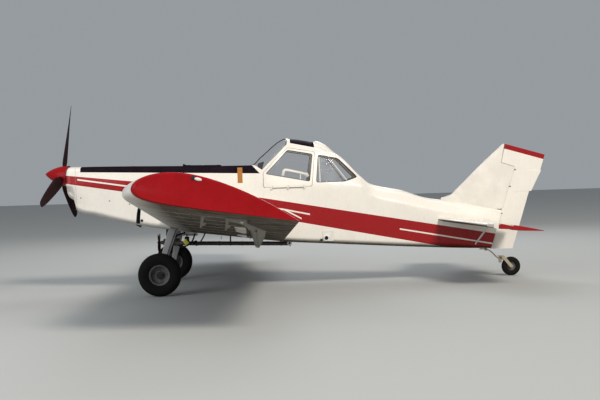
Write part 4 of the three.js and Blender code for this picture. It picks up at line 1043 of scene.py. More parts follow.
# A thin plate that follows the skin between two stations and two heights
def skinPlate(x, z, side, out, inward=2.0):
    u, v = np.meshgrid(np.linspace(*x, 6), np.linspace(*z, 16), indexing="ij")
    spots = np.column_stack([u.ravel(), v.ravel()])
    outer, inner = (onSkin(spots, side, off)[0].reshape(6, 16, 3) for off in (out, -inward))
    return loft(np.concatenate([outer, inner[::-1]], 0).swapaxes(0, 1))


piece("hopper_sight", skinPlate((3166, 3246), (1688, 1936), -1, 1.5), "orange")
roofPane = within(hullShell(3900, 4600, 11, 3), rawBox(4060.3, 4399.7, -263.7, 263.7, 2200, 2500))
piece("skylight_dark", roofPane, "black", slot="clear_glass")

# The fairing behind the skylight: station, top, half-width
fairing = [
    (4412, 2312, 120), (4430, 2338, 150), (4485, 2351, 180), (4552, 2330, 200), (4647, 2272, 205),
    (4744, 2186, 200), (4825, 2120, 190), (4900, 2050, 150),
]


# Half a superellipse on each station of the table, sunk into the roof
def makeRoofFairing(table):
    x = np.linspace(table[0][0], table[-1][0], 40)
    top, half = throughTable(table, x).T
    angle = np.linspace(0, math.pi, 25)[None]
    y = half[:, None] * np.sign(np.cos(angle)) * np.abs(np.cos(angle)) ** 0.8
    z = top[:, None] - 150 + 150 * np.sin(angle) ** 0.8
    made = loft(np.stack([np.broadcast_to(x[:, None], y.shape), y, z], -1))
    return less(made, hullSolid(4300, 5100, 12))


piece("roof_fairing", makeRoofFairing(fairing), "white")

print("stage: tail cone, fin and rudder")

rudderLine = {"x": 7385.0, "z": 474.0, "slope": 0.3402, "nose": 34.0}


def rudderX(z):
    return rudderLine["x"] + (np.asarray(z, float) - rudderLine["z"]) * rudderLine["slope"]


# Everything aft of the rudder's nose between two heights
def aftOfHinge(z0=200, z1=2600):
    ahead = rudderLine["nose"] * 0.5
    a, b = (rudderX(z) - ahead for z in (z0, z1))
    return sidePrism([(a, z0), (9200, z0), (9200, z1), (b, z1)], -300, 300)


def rudderRod(z0, z1, radius, sides=40):
    return rod((rudderX(z0), 0, z0), (rudderX(z1), 0, z1), radius, sides, 0.1)


def rudderPin(z):
    x = float(rudderX(z))
    return joined([block(x - 60, x + 7, -7, 7, z - 5, z + 5, 1.5), rudderRod(z - 24, z + 24, 5, 16)])


tailCone = {
    "x0": 4640.3, "x1": 7610, "shelf": 1632, "boxX": 5185.3, "spindle": (7270, 894.42), "pins": (560, 1050),
    "seams": [5250, 5873, 6292, 6717],
}


def makeTailCone(values):
    x, z = values["spindle"]
    body = less(
        hullSolid(values["x0"], values["x1"]),
        rawBox(4500, values["boxX"], -600, 600, values["shelf"], 2600),
        aftOfHinge(), rudderRod(380, 1300, rudderLine["nose"] + 8),
        rod((x, -300, z), (x, 300, z), 26, 32, 0.1),
    )
    return joined([body, *(rudderPin(height) for height in values["pins"])])


piece("tail_cone_dressed", makeTailCone(tailCone), "livery")
piece("tail_seams", joined([ringStrip(x, 3, 0.4) for x in tailCone["seams"]]), "livery")
tailRows = [x + 18 for x in tailCone["seams"]]
piece("tail_fasteners", seamHeads(tailRows, 4.5, 1.4, 72), "livery")

fin = {
    # height, leading edge, half-thickness
    "table": [
        [1120, 6380, 40], [1341, 6560, 38], [1387, 6717, 37], [1480, 6822, 37], [1877, 7243, 36],
        [2222, 7636, 34],
    ],
    "horn": [[7598, 1910], [7846, 1829], [8400, 1829], [8400, 2400], [7715, 2400], [7667, 2222]],
    "top": 2222, "pins": (1500, 1780),
}


# Rings of a plate between a leading and a trailing line: an elliptic nose, then flat, thinned aft
def plateRing(lead, tail, half, count=26, thin=1.0):
    share = (1 - np.cos(np.linspace(0, math.pi / 2, count)))[None]
    nose = np.sqrt(np.maximum(1 - np.clip(1 - share / 0.28, 0, 1) ** 2, 0))
    y = half[:, None] * nose * (thin + (1.0 - thin) * share**2)
    return lead[:, None] + (tail - lead)[:, None] * share, y


# The skin's fuselage form at the tail, to cut what meets it
def tailSkin():
    return hullSolid(6000, 7619, -0.3)


def makeFin(values):
    top = values["top"]
    z = np.concatenate([np.linspace(1120, 1500, 24), np.linspace(1520, top - 10, 30), [top]])
    lead, half = throughTable(values["table"], z).T
    x, y = plateRing(lead, rudderX(z) + 60, np.where(z > top - 5, half - 6, half))
    body = less(
        mirrored(np.stack([x, y, np.broadcast_to(z[:, None], x.shape)], -1)), tailSkin(),
        sidePrism(corners(5800, 6560, 900, 1500), -300, 300), aftOfHinge(200, 1837),
        rudderRod(900, 1837, rudderLine["nose"] + 8), sidePrism(grown(values["horn"], 8), -300, 300),
        sidePrism(corners(7500, 8000, 1000, 1130), -300, 300),
    )
    return joined([body, *(rudderPin(height) for height in values["pins"])])


piece("fin_dressed", makeFin(fin), "white")

rudder = {
    "outline": [
        [7340, 474], [7385, 462], [7757, 453], [8065, 1413], [8101, 1413], [8283, 1763], [8266, 1763],
        [8350, 2021], [7673, 2218], [7598, 1910], [7800, 1844],
    ],
    # height, trailing edge
    "trail": [
        [440, 7752], [453, 7757], [1412, 8065], [1414, 8101], [1762, 8283], [1764, 8266], [2021, 8350],
        [2260, 8428],
    ],
    "edge": 4.0,
}


# The rudder: a round nose on the hinge line that thins to the trailing edge, with the horn above
def makeRudder(values):
    half, edge = rudderLine["nose"], values["edge"]

    def section(z, front):
        trail = np.interp(z, *np.array(values["trail"], float).T)
        hinge = (front + half)[:, None]
        angle = np.radians(np.linspace(180, 90, 12))
        share = np.linspace(0, 1, 22)[None, 1:] ** 0.9
        flat = 0 * z[:, None]
        x = np.concatenate([hinge + half * np.cos(angle), hinge + (trail[:, None] - hinge) * share], 1)
        y = [half * np.sin(angle)[None] + flat, edge + (half - edge) * (1 - share**1.25) + flat]
        return mirrored(np.stack([x, np.concatenate(y, 1), np.broadcast_to(z[:, None], x.shape)], -1))

    low = np.unique(np.concatenate([np.linspace(440, 1842, 60), [1412, 1414, 1762, 1764]]))
    high = np.linspace(1829.5, 2255, 24)
    outline = sidePrism(values["outline"], -200, 200)
    main = within(section(low, rudderX(low) - half), outline)
    top = within(section(high, 7586 + (high - 1943) * 0.316), outline, sidePrism(fin["horn"], -200, 200))
    cutters = []
    for z in (*tailCone["pins"], *fin["pins"]):
        x = float(rudderX(z))
        cutters.append(sidePrism(corners(x - 60, x + 14, z - 11, z + 11), -60, 60))
        cutters.append(rudderRod(z - 26, z + 26, 6.5, 20))
    return joined([less(main, *cutters), top])


piece("rudder_dressed", makeRudder(rudder), "rudder", "rudder")

print("stage: wings")

wing = {
    "lead": (1955, 500, 1136), "chord": 1957, "incidence": 11.6, "dihedral": 5.18, "straight": 4820,
    "halfSpan": 5910, "thick": 0.185, "camber": 0.045, "peak": 0.4, "edge": 3.0, "hinge": 0.74,
    "paint": 0.94, "sweep": 174, "raise": 0.25, "thin": 0.1,
    "flap": (150, 2350), "aileron": (2400, 4740), "seam": 6,
    "laps": (700, 1500, 2300, 3100, 3900, 4650),
    "lapEdge": ((-14, -2), (-13, 1.2), (13, 1.2), (14, -2)),
    "spars": (0.13, 0.3, 0.68), "headGap": 75.0, "brackets": (600, 1900, 2375, 2900, 4300),
}
wing["tip"] = (wing["halfSpan"] - 500) / math.cos(math.radians(wing["dihedral"]))


def wingMatrix(side):
    x, y, z = wing["lead"]
    return shift(x, side * y, z) @ (turn(side * wing["dihedral"], "X") @ turn(wing["incidence"], "Y"))


# A shape in the starboard wing's frame, placed on either wing
def winged(side, shape):
    return turned(onSide(side, shape), wingMatrix(side))


# Height of the section's upper (1) or lower (-1) surface at a share of the chord: a four-digit
# form, which is a square-root nose on a quartic, plus two parabolas of camber
def foilZ(s, side):
    s = np.asarray(s, float)
    form = 0.2969 * np.sqrt(s) - 0.126 * s - 0.3516 * s**2 + 0.2843 * s**3 - 0.1036 * s**4
    half = 5 * wing["thick"] * form + wing["edge"] / wing["chord"] * s
    m, p = wing["camber"], wing["peak"]
    ahead, behind = m / p**2 * (2 * p * s - s**2), m / (1 - p) ** 2 * (1 - 2 * p + 2 * p * s - s**2)
    return np.where(s < p, ahead, behind) + side * half


def foilLoop(count):
    s = (1 - np.cos(np.linspace(0, math.pi, count + 1))) / 2
    return np.concatenate([np.column_stack([s, foilZ(s, 1)])[::-1], np.column_stack([s, foilZ(s, -1)])[1:]])


# Wing sections at y; over the tip the nose runs back and rises on a square law, the rim thins
# and the section leans until its end stands upright
def wingGrid(y, count=44):
    y = np.asarray(y, float)[:, None]
    t = np.clip((y - wing["straight"]) / (wing["tip"] - wing["straight"]), 0, 1)
    lead = wing["sweep"] * t**2
    rim = wing["thin"] * (np.clip(t - wing["paint"], 0, 1) / (1 - wing["paint"])) ** 2
    s, h = foilLoop(count).T
    x = lead + (wing["chord"] - lead) * s + rim * 0.1 * wing["chord"] * (1 - 2 * s)
    z = h * wing["chord"] * (1 - rim) + wing["raise"] * lead * (1 - s)
    angle = math.radians(wing["incidence"])
    lean = t * math.tan(math.radians(wing["dihedral"])) * (z * math.cos(angle) - x * math.sin(angle))
    return np.stack([x, y + lean, z], -1)


def tipY(t):
    return wing["straight"] + (wing["tip"] - wing["straight"]) * np.asarray(t, float)


def hingeAt():
    s = wing["hinge"]
    upper, lower = foilZ(s, 1) * wing["chord"], foilZ(s, -1) * wing["chord"]
    return s * wing["chord"], float(upper + lower) / 2, float(upper - lower) / 2


hingeX, hingeZ, hingeR = hingeAt()


# A bar along the hinge line of the flap and the aileron
def hingeRod(y0, y1, radius, sides, end=None):
    return rod((hingeX, y0, hingeZ), (hingeX, y1, hingeZ), radius, sides, end)


def surfaceCut(ends):
    y0, y1 = ends[0] - wing["seam"], ends[1] + wing["seam"]
    tail = rawBox(hingeX - hingeR * 0.45, hingeX + 900, y0, y1, hingeZ - 300, hingeZ + 300)
    return [hingeRod(y0, y1, hingeR + 8, 48, 0.1), tail]


def makeWing():
    straight, bent = np.linspace(-46, wing["straight"], 40), tipY(np.linspace(0.1, wing["paint"], 9))
    rows = np.concatenate([straight, bent])
    shapes = [less(loft(wingGrid(rows)), *surfaceCut(wing["flap"]), *surfaceCut(wing["aileron"]))]
    for y0, y1 in (wing["flap"], wing["aileron"]):
        shapes.append(hingeRod(y0 - wing["seam"] - 20, y0 + 26, 8, 16))
        shapes.append(hingeRod(y1 - 26, y1 + wing["seam"] + 20, 8, 16))
    return joined(shapes)


# A flap or an aileron: a round nose about its hinge line on the wing's own tail section
def makeSurface(ends):
    s = np.linspace(wing["hinge"], 1, 16)
    upper, lower = (np.column_stack([s, foilZ(s, face)]) * wing["chord"] for face in (1, -1))
    nose = arc(hingeX, hingeZ, hingeR, 90, 270, 20)[1:-1]
    made = sidePrism(np.concatenate([upper[::-1], nose, lower]), *ends)
    return less(made, *(hingeRod(y - 30, y + 30, 8.8, 20, 0.1) for y in ends))


def makeTip():
    y = tipY(1 - (1 - wing["paint"]) * np.linspace(1, 0, 12) ** 1.5)
    y[0] += 0.3
    return loft(wingGrid(y, 56))


# A closed strip through four edge lines
def ladder(edges):
    return loft(np.swapaxes(np.stack(edges), 0, 1))


# Lap strips over the ribs, above and below
def wingLaps():
    shapes, share = [], np.linspace(0.02, 0.71, 30)
    for y in wing["laps"]:
        for face in (-1, 1):
            x, z = share * wing["chord"], foilZ(share, face) * wing["chord"]
            edges = [np.column_stack([x, np.full(30, y + dy), z + face * h]) for dy, h in wing["lapEdge"]]
            shapes.append(ladder(edges))
    return joined(shapes)


# Rows of heads along the spars, above and below
def wingHeads():
    places, normals = [], []
    for share in wing["spars"]:
        for face in (-1, 1):
            y = np.arange(60, 4800, wing["headGap"])
            x, z = (np.full(len(y), value * wing["chord"]) for value in (share, foilZ(share, face)))
            places.append(np.column_stack([x, y, z]))
            slope = (foilZ(share + 0.01, face) - foilZ(share - 0.01, face)) / 0.02
            normals.append(np.tile([-slope * face, 0, face], (len(y), 1)))
    return studs(np.concatenate(places), np.concatenate(normals), 4.5, 1.6)


# Hinge brackets under the flap and the aileron, from the wing's rear spar to the hinge line
def hingeBrackets():
    low, x, z = float(foilZ(0.66, -1) * wing["chord"]), hingeX, hingeZ - hingeR
    web = [(x - 210, low + 6), (x - 120, low + 6), (x - 90, z - 4), (x - 60, z - 30)]
    web += [(x - 110, z - 44), (x - 230, low - 20)]
    return joined([sidePrism(rounded(web, 10, 3), y - 3, y + 3) for y in wing["brackets"]])


wingParts = [
    # name, shape, finish, body
    ("wing_%s_dressed", makeWing(), "white", "airframe"),
    ("wing_tip_%s_dressed", makeTip(), "red", "airframe"),
    ("flap_%s_dressed", makeSurface(wing["flap"]), "white", "flap_"),
    ("aileron_%s_dressed", makeSurface(wing["aileron"]), "white", "aileron_"),
    ("wing_laps_%s", wingLaps(), "white", "airframe"),
    ("wing_heads_%s", wingHeads(), "white", "airframe"),
]
for side, word in sideWords:
    for name, shape, finish, body in wingParts:
        piece(name % word, winged(side, shape), finish, body if body == "airframe" else body + word)

print("stage: tailplane")

tail = {
    "axis": (7270, 894.42), "slope": 0.13, "nose": 6452, "sweep": 0.295, "tip": 1950, "half": 38,
    "trail": 7704, "root": 165, "horn": 1765, "hornX": 7032,
}
tailTurn = shift(tail["axis"][0], 0, tail["axis"][1]) @ Matrix.Rotation(math.atan(tail["slope"]), 4, "Y")
slant = math.hypot(1, tail["slope"])
hornFront = (tail["hornX"] - tail["axis"][0]) * slant


# The stabiliser between a swept nose and a straight trailing line, in the tailplane's frame
def stabiliserSolid(y, trail):
    y = np.asarray(y, float)
    lead = (tail["nose"] - tail["axis"][0] + (y - 250) * tail["sweep"]) * slant
    x, z = plateRing(lead, np.full(len(y), float(trail)), np.full(len(y), float(tail["half"])), 24, 0.96)
    return mirrored(np.stack([x, np.broadcast_to(y[:, None], x.shape), z], -1), (1, 1, -1))


def makeStabiliser():
    h, horn = tail["half"], tail["horn"]
    main = less(
        stabiliserSolid(np.linspace(0, horn - 10, 30), 40), rawBox(-h * 0.45, 200, -50, 2200, -200, 200),
        rod((0, -50, 0), (0, 2200, 0), h + 8, 48, 0.1), turned(tailSkin(), tailTurn.inverted()),
    )
    rows = np.append(np.linspace(horn - 12, tail["tip"] - 8, 10), tail["tip"])
    outer = stabiliserSolid(rows, hornFront - 8)
    arm = block(-h - 12, 8, horn - 40, horn - 28, -10, 10, 2)
    return joined([main, outer, arm, rod((0, horn - 30, 0), (0, horn + 30, 0), 8, 16)])


def makeElevator():
    h, horn, tip, root = (tail[k] for k in ("half", "horn", "tip", "root"))
    share = np.linspace(0, 1, 24)[1:]

    # A round nose and a straight wedge behind it, with thinner ends
    def wedge(y0, y1, front, back):
        spread = 4 + (h - 4) * (1 - share**1.2)
        body = np.column_stack([front + h + (back - front - h) * share, spread])
        upper = np.concatenate([arc(front + h, 0, h, 180, 90, 12), body])
        line = np.concatenate([upper, upper[:0:-1] * (1, -1)])
        ends = ((y0, 0.94), (y0 + 4, 1), (y1 - 4, 1), (y1, 0.9))
        return loft(np.stack([atY(line * (1, k), y) for y, k in ends]))

    half = wedge(root, tip, -h, (tail["trail"] - tail["axis"][0]) * slant)
    half = less(half, rawBox(-60, 12, horn - 46, horn - 22, -60, 60))
    end = wedge(horn + 2, tip - 0.5, hornFront, 60)
    torque = rod((0, -root - 20, 0), (0, root + 20, 0), 22, 28, 0.1)
    return joined([half, end, onSide(-1, half), onSide(-1, end), torque])


stabiliser = makeStabiliser()
piece("elevator_dressed", turned(makeElevator(), tailTurn), "elevator", "elevator")
for side, word in sideWords:
    piece("stabiliser_%s_dressed" % word, turned(onSide(side, stabiliser), tailTurn), "white")

print("stage: propeller and spinner")

prop = {
    "radius": 1170, "rest": -6.4, "blades": 3, "plate": 163.6,
    # share of the radius, chord, thickness, pitch
    "table": [
        [0.03, 62, 62, 50], [0.1, 62, 62, 50], [0.145, 84, 56, 46], [0.165, 128, 50, 44],
        [0.2, 162, 42, 41], [0.3, 182, 31, 37], [0.5, 176, 22, 31], [0.7, 160, 16, 25],
        [0.88, 128, 11, 21], [0.97, 92, 8, 19], [1.0, 50, 6, 18],
    ],
    "hub": [(0.1, -70), (60, -70), (70, -60), (70, 60), (60, 84), (20.4, 84), (20.4, 50), (0.1, 50)],
}
spinner = {"length": 384, "radius": 170, "wall": 5, "hole": 47}


# The outward direction of each blade and the direction across it in the plane of the disc
def bladeTurns():
    for i in range(prop["blades"]):
        angle = math.radians(prop["rest"] + 360 / prop["blades"] * i)
        c, s = math.cos(angle), math.sin(angle)
        yield np.array([0, -s, c]), np.array([0, c, s])


# Sections (u, v) set square to a blade at distances along it, turned by the pitch at each
def bladeSolid(start, out, reach, pitch, side, forward, u, v):
    along = np.cos(pitch)[:, None] * side + np.sin(pitch)[:, None] * np.array(forward)
    across = np.cross(along, out)
    grid = start + reach[:, None, None] * out
    return loft(grid + along[:, None] * u[..., None] + across[:, None] * v[..., None])


# A blade: from a round shank to a lens section with a blunt nose and a thin tail
def makeBlade(out, side):
    share = np.concatenate([np.linspace(0.03, 0.9, 34), np.linspace(0.91, 0.985, 10), [0.993, 0.998, 1.0]])
    chord, thick, pitch = (column[:, None] for column in throughTable(prop["table"], share).T)
    angle = around(36)[None]
    lens = np.clip((share - 0.12) / 0.2, 0, 1)[:, None]
    plain = 0.5 * np.sin(angle)
    foil = plain * (1 + 0.45 * np.cos(angle)) * np.abs(np.sin(angle)) ** 0.15
    u, v = 0.5 * np.cos(angle) + 0 * lens, plain * (1 - lens) + foil * 0.85 * lens
    reach = share * prop["radius"]
    return bladeSolid(0, out, reach, np.radians(pitch[:, 0]), side, (-1.0, 0, 0), u * chord, v * thick)


def makePropeller(values):
    shapes = [
        spun(values["hub"], axis="X", steps=48), spun(ringLine(60, values["plate"], 72, 82), axis="X"),
    ]
    for out, side in bladeTurns():
        shapes.append(makeBlade(out, side))
        shapes.append(tube([out * 60, out * 62, out * 118, out * 122], [40, 43, 43, 39], 32, (1, 0, 0)))
    return turned(joined(shapes), thrustMatrix)


tilt = math.cos(math.radians(thrust["tilt"]))
spinnerFront = -thrust["hub"][0] / tilt
spinnerBack = spinner["length"] / tilt - thrust["hub"][0] / tilt


# The spinner's cone: its radius follows a blunt power law along its length, with a hole per blade
def makeSpinner(values):
    def line(wall):
        u = np.linspace(0, 1, 40) ** 1.7
        r = values["radius"] * (1 - (1 - u) ** 1.75) ** 0.82 - wall
        x = spinnerFront + wall + (spinnerBack - spinnerFront - wall) * u
        return np.column_stack([np.maximum(r, 0.2), x])

    body = spun(np.concatenate([line(0), line(values["wall"])[::-1]]), axis="X", steps=96)
    holes = [rod(out * 40, out * 260, values["hole"], 32, 0.1, (1, 0, 0)) for out, side in bladeTurns()]
    return turned(less(body, *holes), thrustMatrix)


def spinnerScrews(values):
    angle, r = around(24) + 0.13, values["radius"] - 0.2
    ring = np.column_stack([np.full(24, spinnerBack - 12), np.cos(angle), np.sin(angle)])
    return turned(studs(ring * (1, r, r), ring * (0, 1, 1), 4.5, 1.8), thrustMatrix)


piece("propeller_dressed", makePropeller(prop), "blade", "propeller")
piece("spinner_dressed", makeSpinner(spinner), "red", "propeller")
piece("spinner_screws", spinnerScrews(spinner), "steel", "propeller")

print("stage: landing gear and wheels")

gear = {
    "path": [
        [380, 1008], [600, 1004], [740, 968], [880, 892], [1010, 790], [1120, 670], [1190, 540],
        [1214, 410], [1216, 280],
    ],
    # height, station of the edge
    "front": [(1008, 2061), (300, 1905), (270, 1905)], "back": [(1008, 2215), (300, 1988), (270, 1988)],
    "thick": 26,
}


def edgeX(values, key, z):
    return np.interp(z, *np.array(values[key], float)[::-1].T)


# The leg: a leaf that follows a bent line in the front view and narrows downward, with rounded edges
def makeLeg(values):
    path = smoothPath(values["path"], 8)
    along = tangents(path)
    normal = np.column_stack([-along[:, 1], along[:, 0]])
    x0, x1 = (edgeX(values, key, path[:, 1]) for key in ("front", "back"))
    angle = around(28)
    across = np.sign(np.cos(angle)) * (np.abs(np.cos(angle)) ** 0.35)
    through = np.sign(np.sin(angle)) * np.abs(np.sin(angle)) ** 0.6
    x = ((x0 + x1) / 2)[:, None] + ((x1 - x0) / 2)[:, None] * across
    side = path[:, None] + normal[:, None] * (through * (values["thick"] / 2))[None, :, None]
    leg = loft(np.stack([x, side[..., 0], side[..., 1]], -1))
    wingSolid = moved(loft(wingGrid(np.linspace(-80, 1500, 10))), (0, 0, -0.4))
    return less(leg, hullSolid(1700, 2600, -0.3), turned(wingSolid, wingMatrix(1)))


# The brake line and its clips down the leg's rear edge
def brakeLine(values):
    path = smoothPath(values["path"][2:-1], 6)
    along = tangents(path)
    inner = path + np.column_stack([along[:, 1], -along[:, 0]]) * (values["thick"] / 2 + 6) * -1
    line = np.column_stack([edgeX(values, "back", path[:, 1]) - 24, inner])
    clips = [block(x - 8, x + 8, y - 8, y + 8, z - 8, z + 8, 2) for x, y, z in line[[8, 18, 28]]]
    return joined([tube(line, 4.0, 10, (1, 0, 0)), *clips])


wheel = {
    "x": 1959, "y": 1378, "r": 326, "axle": 26,
    "hub": [(0.1, 66.4), (44, 66.4), (50, 69), (46, 76), (22, 78), (20, 74), (0.1, 74)],
    "rim": [
        (26.4, -62), (40, -64), (58, -60), (60, -26), (66, -22), (112, -27), (122, -34), (127, -60),
        (128, -82), (140, -90), (156, -92), (158, -88), (157, -82), (148, -74), (146, -60), (146, 60),
        (148, 74), (157, 82), (158, 88), (156, 92), (140, 90), (128, 82), (126, 40), (122, 12), (114, 6),
        (66, 8), (60, 12), (58, 60), (40, 64), (26.4, 62), (26.4, -62),
    ],
    # the outer half of the tyre's profile, from its middle to its bead
    "tyre": [
        (326, 9), (320, 10), (320, 16), (326, 17), (325.2, 31.5), (319, 33), (319, 38.5), (324.5, 40),
        (324, 46), (320, 62), (312, 77), (300, 90), (286, 99), (266, 106), (244, 109), (222, 108),
        (200, 104), (182, 99), (166, 92), (158.3, 83), (149, 74), (146.3, 66),
    ],
}
tailWheel = {
    "x": 7721, "r": 158, "pivot": 7540,
    "rim": [
        (9.5, -50), (18, -50), (20, -46), (20, -15), (68, -20), (69, -28), (72, -28), (72, 28), (69, 28),
        (68, 20), (20, 15), (20, 46), (18, 50), (9.5, 50), (9.5, -50),
    ],
    "tyre": [
        (158, 8), (154, 9), (154, 13), (157, 14), (156, 20), (149, 33), (136, 43), (118, 47), (100, 46),
        (80, 40), (72.3, 30),
    ],
}


# A tyre's whole profile from its outer half, closed at the bead
def wholeTyre(half):
    inner = [(r, -h) for r, h in half[::-1]]
    return inner + half + inner[:1]


def makeAxle(values):
    x, y, z, r = values["x"], values["y"], values["r"], values["axle"]
    bolts = atY([(x - 38, z - 30), (x + 22, z - 30), (x + 22, z + 56), (x - 38, z + 56)], 1241.0)
    return joined([
        rod((x, 1235, z), (x, y + 64, z), r, 32, 3),
        sidePrism(rounded(corners(x - 52, x + 36, z - 44, z + 70), 14, 4), 1229.4, 1241),
        sidePrism(rounded(corners(x - 150, x - 62, z - 30, z + 90), 20, 4), 1230, 1262),
        block(x - 70, x, 1230, 1241, z - 20, z + 60, 2), studs(bolts, (0, 1, 0), 9, 8, 6),
        studs([(x - 106, 1262, z + 5), (x - 106, 1262, z + 55)], (0, 1, 0), 22, 14, 20),
    ])


# Points on a circle round the wheel's axle, at a distance y along it
def wheelRing(count, radius, y):
    angle = around(count)
    return np.column_stack([np.cos(angle) * radius, np.full(count, y), np.sin(angle) * radius])


# Raised bars on the edge of the tyre's sidewalls
def tyreBars(centre):
    bars = ((wheelRing(60, 309, face * 81.5), wheelRing(60, 0.6, face * 0.8)) for face in (-1, 1))
    return joined([studs(spots + centre, normals, 9, 3.5, 6) for spots, normals in bars])


# The bolts of the rim and its valve
def rimBolts(centre, side):
    valve = centre + (104, side * 20, 30)
    bolts = studs(wheelRing(8, 92, side * 7.0) + centre, (0, side, 0), 10, 9, 6)
    return joined([bolts, rod(valve, valve + (0, side * 26, 0), 4, 10)])


legShape, brakeShape, axleShape = makeLeg(gear), brakeLine(gear), makeAxle(wheel)
for side, word in sideWords:
    body = "wheel_" + word
    centre = np.array((wheel["x"], side * wheel["y"], wheel["r"]), float)
    hub = spun(wheel["hub"], centre * (1, side, 1), "Y", 48)
    rim = joined([spun(wheel["rim"], centre, "Y", 96), rimBolts(centre, side)])
    tyre = joined([spun(wholeTyre(wheel["tyre"]), centre, "Y", 120), tyreBars(centre)])
    piece("gear_leg_%s_dressed" % word, onSide(side, legShape), "grey")
    piece("brake_line_" + word, onSide(side, brakeShape), "rubber")
    piece("axle_%s_dressed" % word, onSide(side, axleShape), "steel")
    piece("hub_cap_" + word, onSide(side, hub), "panel", body, slot="rim_metal")
    piece("rim_%s_dressed" % word, rim, "rim", body)
    piece("tyre_%s_dressed" % word, tyre, "rubber", body)


tailSpring = {
    "path": [[7200, 462], [7270, 461], [7322, 455], [7400, 402], [7470, 330], [7522, 283]],
    "wide": 32, "thick": 7, "bore": 12.7, "clamp": (7286, 7318, -38, 38, 432, 472),
    "housing": [(12.7, 236), (24, 236), (26, 240), (26, 316), (24, 320), (12.7, 320), (12.7, 236)],
}
fork = {
    "foot": [(0.1, 222), (20, 222), (22, 225), (22, 230), (0.1, 232)], "spindle": 12, "top": 338,
    "arms": ((-1, (-62, -54)), (1, (54, 62))), "axle": 9,
}


# The tail spring: a bent leaf, the housing of the fork's spindle at its end and a clamp
def makeTailSpring(values, pivot):
    path = smoothPath(values["path"], 6)
    along = tangents(path)
    normal = np.column_stack([-along[:, 1], along[:, 0]])
    wide, thick, bore = values["wide"], values["thick"], values["bore"]
    edges = ((-wide, -thick), (-wide, thick), (wide, thick), (wide, -thick))
    leaf = ladder([atY(path + normal * d, y) for y, d in edges])
    hole = rod((pivot, 0, 200), (pivot, 0, 360), bore, 32, 0.1)
    leaf = less(leaf, hullSolid(6800, 7619, -0.3), hole)
    return joined([leaf, spun(values["housing"], (pivot, 0, 0), "Z", 40), block(*values["clamp"], 3)])


def makeFork(values, x, r, pivot):
    top = values["top"]
    spindle = rod((pivot, 0, 226), (pivot, 0, 340), values["spindle"], 28)
    shapes = [spindle, spun(values["foot"], (pivot, 0, 0), "Z", 32)]
    shapes.append(block(pivot - 28, pivot + 60, -62, 62, top - 12, top, 4))
    arm = [(pivot - 4, top), (pivot + 60, top), (x + 24, r + 6), (x + 16, r - 22), (x - 22, r - 22)]
    for side, ends in values["arms"]:
        shapes.append(sidePrism(rounded(arm, 10, 4), *ends))
        shapes.append(studs([(x, side * 62, r)], (0, side, 0), 15, 9, 6))
    return joined([*shapes, rod((x, -66, r), (x, 66, r), values["axle"], 20)])


tailPivot, tailHub = tailWheel["pivot"], (tailWheel["x"], 0, tailWheel["r"])
forkShape = makeFork(fork, tailWheel["x"], tailWheel["r"], tailPivot)
piece("tail_spring_dressed", makeTailSpring(tailSpring, tailPivot), "tan")
piece("tail_fork_dressed", forkShape, "tan", "tail_fork", slot="bare_steel")
piece("tail_rim_dressed", spun(tailWheel["rim"], tailHub, "Y", 64), "rim", "tail_wheel")
piece("tail_tyre_dressed", spun(wholeTyre(tailWheel["tyre"]), tailHub, "Y", 96), "rubber", "tail_wheel")

print("stage: engine, hopper and gate")

engine = {
    "case": (640, 1400, -120, 120, 1500, 1790), "cylinders": [760, 960, 1160], "cylinderZ": 1668,
    "reach": 228, "barrel": 62, "fins": 13, "mount": (1392, 1463.5),
}


# An opposed engine: a crankcase, finned cylinders on both sides, a sump, the shaft and the mount's tubes
def makeEngine(values):
    x0, x1, y0, y1, z0, z1 = values["case"]
    high, (m0, m1) = values["cylinderZ"], values["mount"]
    shapes = [block(x0, x1, y0, y1, z0, z1, 26), block(x0 + 90, x1 - 60, -90, 90, 1452, 1520, 24)]
    shapes.append(block(x0 + 120, x1 - 40, -70, 70, 1780, 1848, 20))
    along = np.linspace(y1 - 6, values["reach"], values["fins"] * 4 + 1)
    wave = np.where((np.arange(len(along)) // 2) % 2 == 0, values["barrel"], values["barrel"] + 22.0)
    profile = np.concatenate([[(0.1, along[0])], np.column_stack([wave, along]), [(0.1, along[-1])]])
    for x in values["cylinders"]:
        pushRod = rod((x + 40, 100, high - 84), (x + 40, 214, high - 70), 10, 10)
        for one in (spun(profile, (x, 0, high), "Y", 28), pushRod):
            shapes += [one, onSide(-1, one)]
    shaft = [rod((105, 0, 0), (420, 0, 0), 52, 32, 2), rod((50, 0, 0), (110, 0, 0), 18.9, 24, 1)]
    shapes.append(turned(joined(shaft), thrustMatrix))
    shapes += [rod((m0 - 30, y * 0.6, z), (m1, y, z), 14, 14) for y in (-170, 170) for z in (1500, 1800)]
    return joined([*shapes, *(block(m0, m1, -180, 180, z, z + 20, 4) for z in (1480, 1800))])


piece("engine_dressed", makeEngine(engine), "engine", replaced="engine_block")
piece("firewall_dressed", hullSolid(1464, 1474, 0.4, 5), "steel")

hopper = {
    "top": 1940, "x0": 1900, "x1": 3330, "w": 430, "waist": 1450, "neck": 990, "end": 936, "wall": 8,
    "gate": (2222, 2472, 125, 892, 868), "round": 46,
}


# The tank: a rounded box that narrows to its neck, hollow
def makeTank(values):
    gx0, gx1, gw = values["gate"][:3]
    x0, x1, w, r = (values[k] for k in ("x0", "x1", "w", "round"))

    def solid(t):
        box, neck = (x0 + t, x1 - t, w - t, r), (gx0 + 6 + t, gx1 - 6 - t, gw - 6 - t, 12)
        levels = [(box, values["top"] + 3 * t), (box, values["waist"])]
        levels += [(neck, values["neck"]), (neck, values["end"] - 3 * t)]
        rings = [atZ(rounded(corners(a, b, -c, c), bend, 6), z) for (a, b, c, bend), z in levels]
        return loft(np.stack(rings))

    return less(solid(0), solid(values["wall"]))


piece("hopper_tank_dressed", makeTank(hopper), "tank", angle=50)


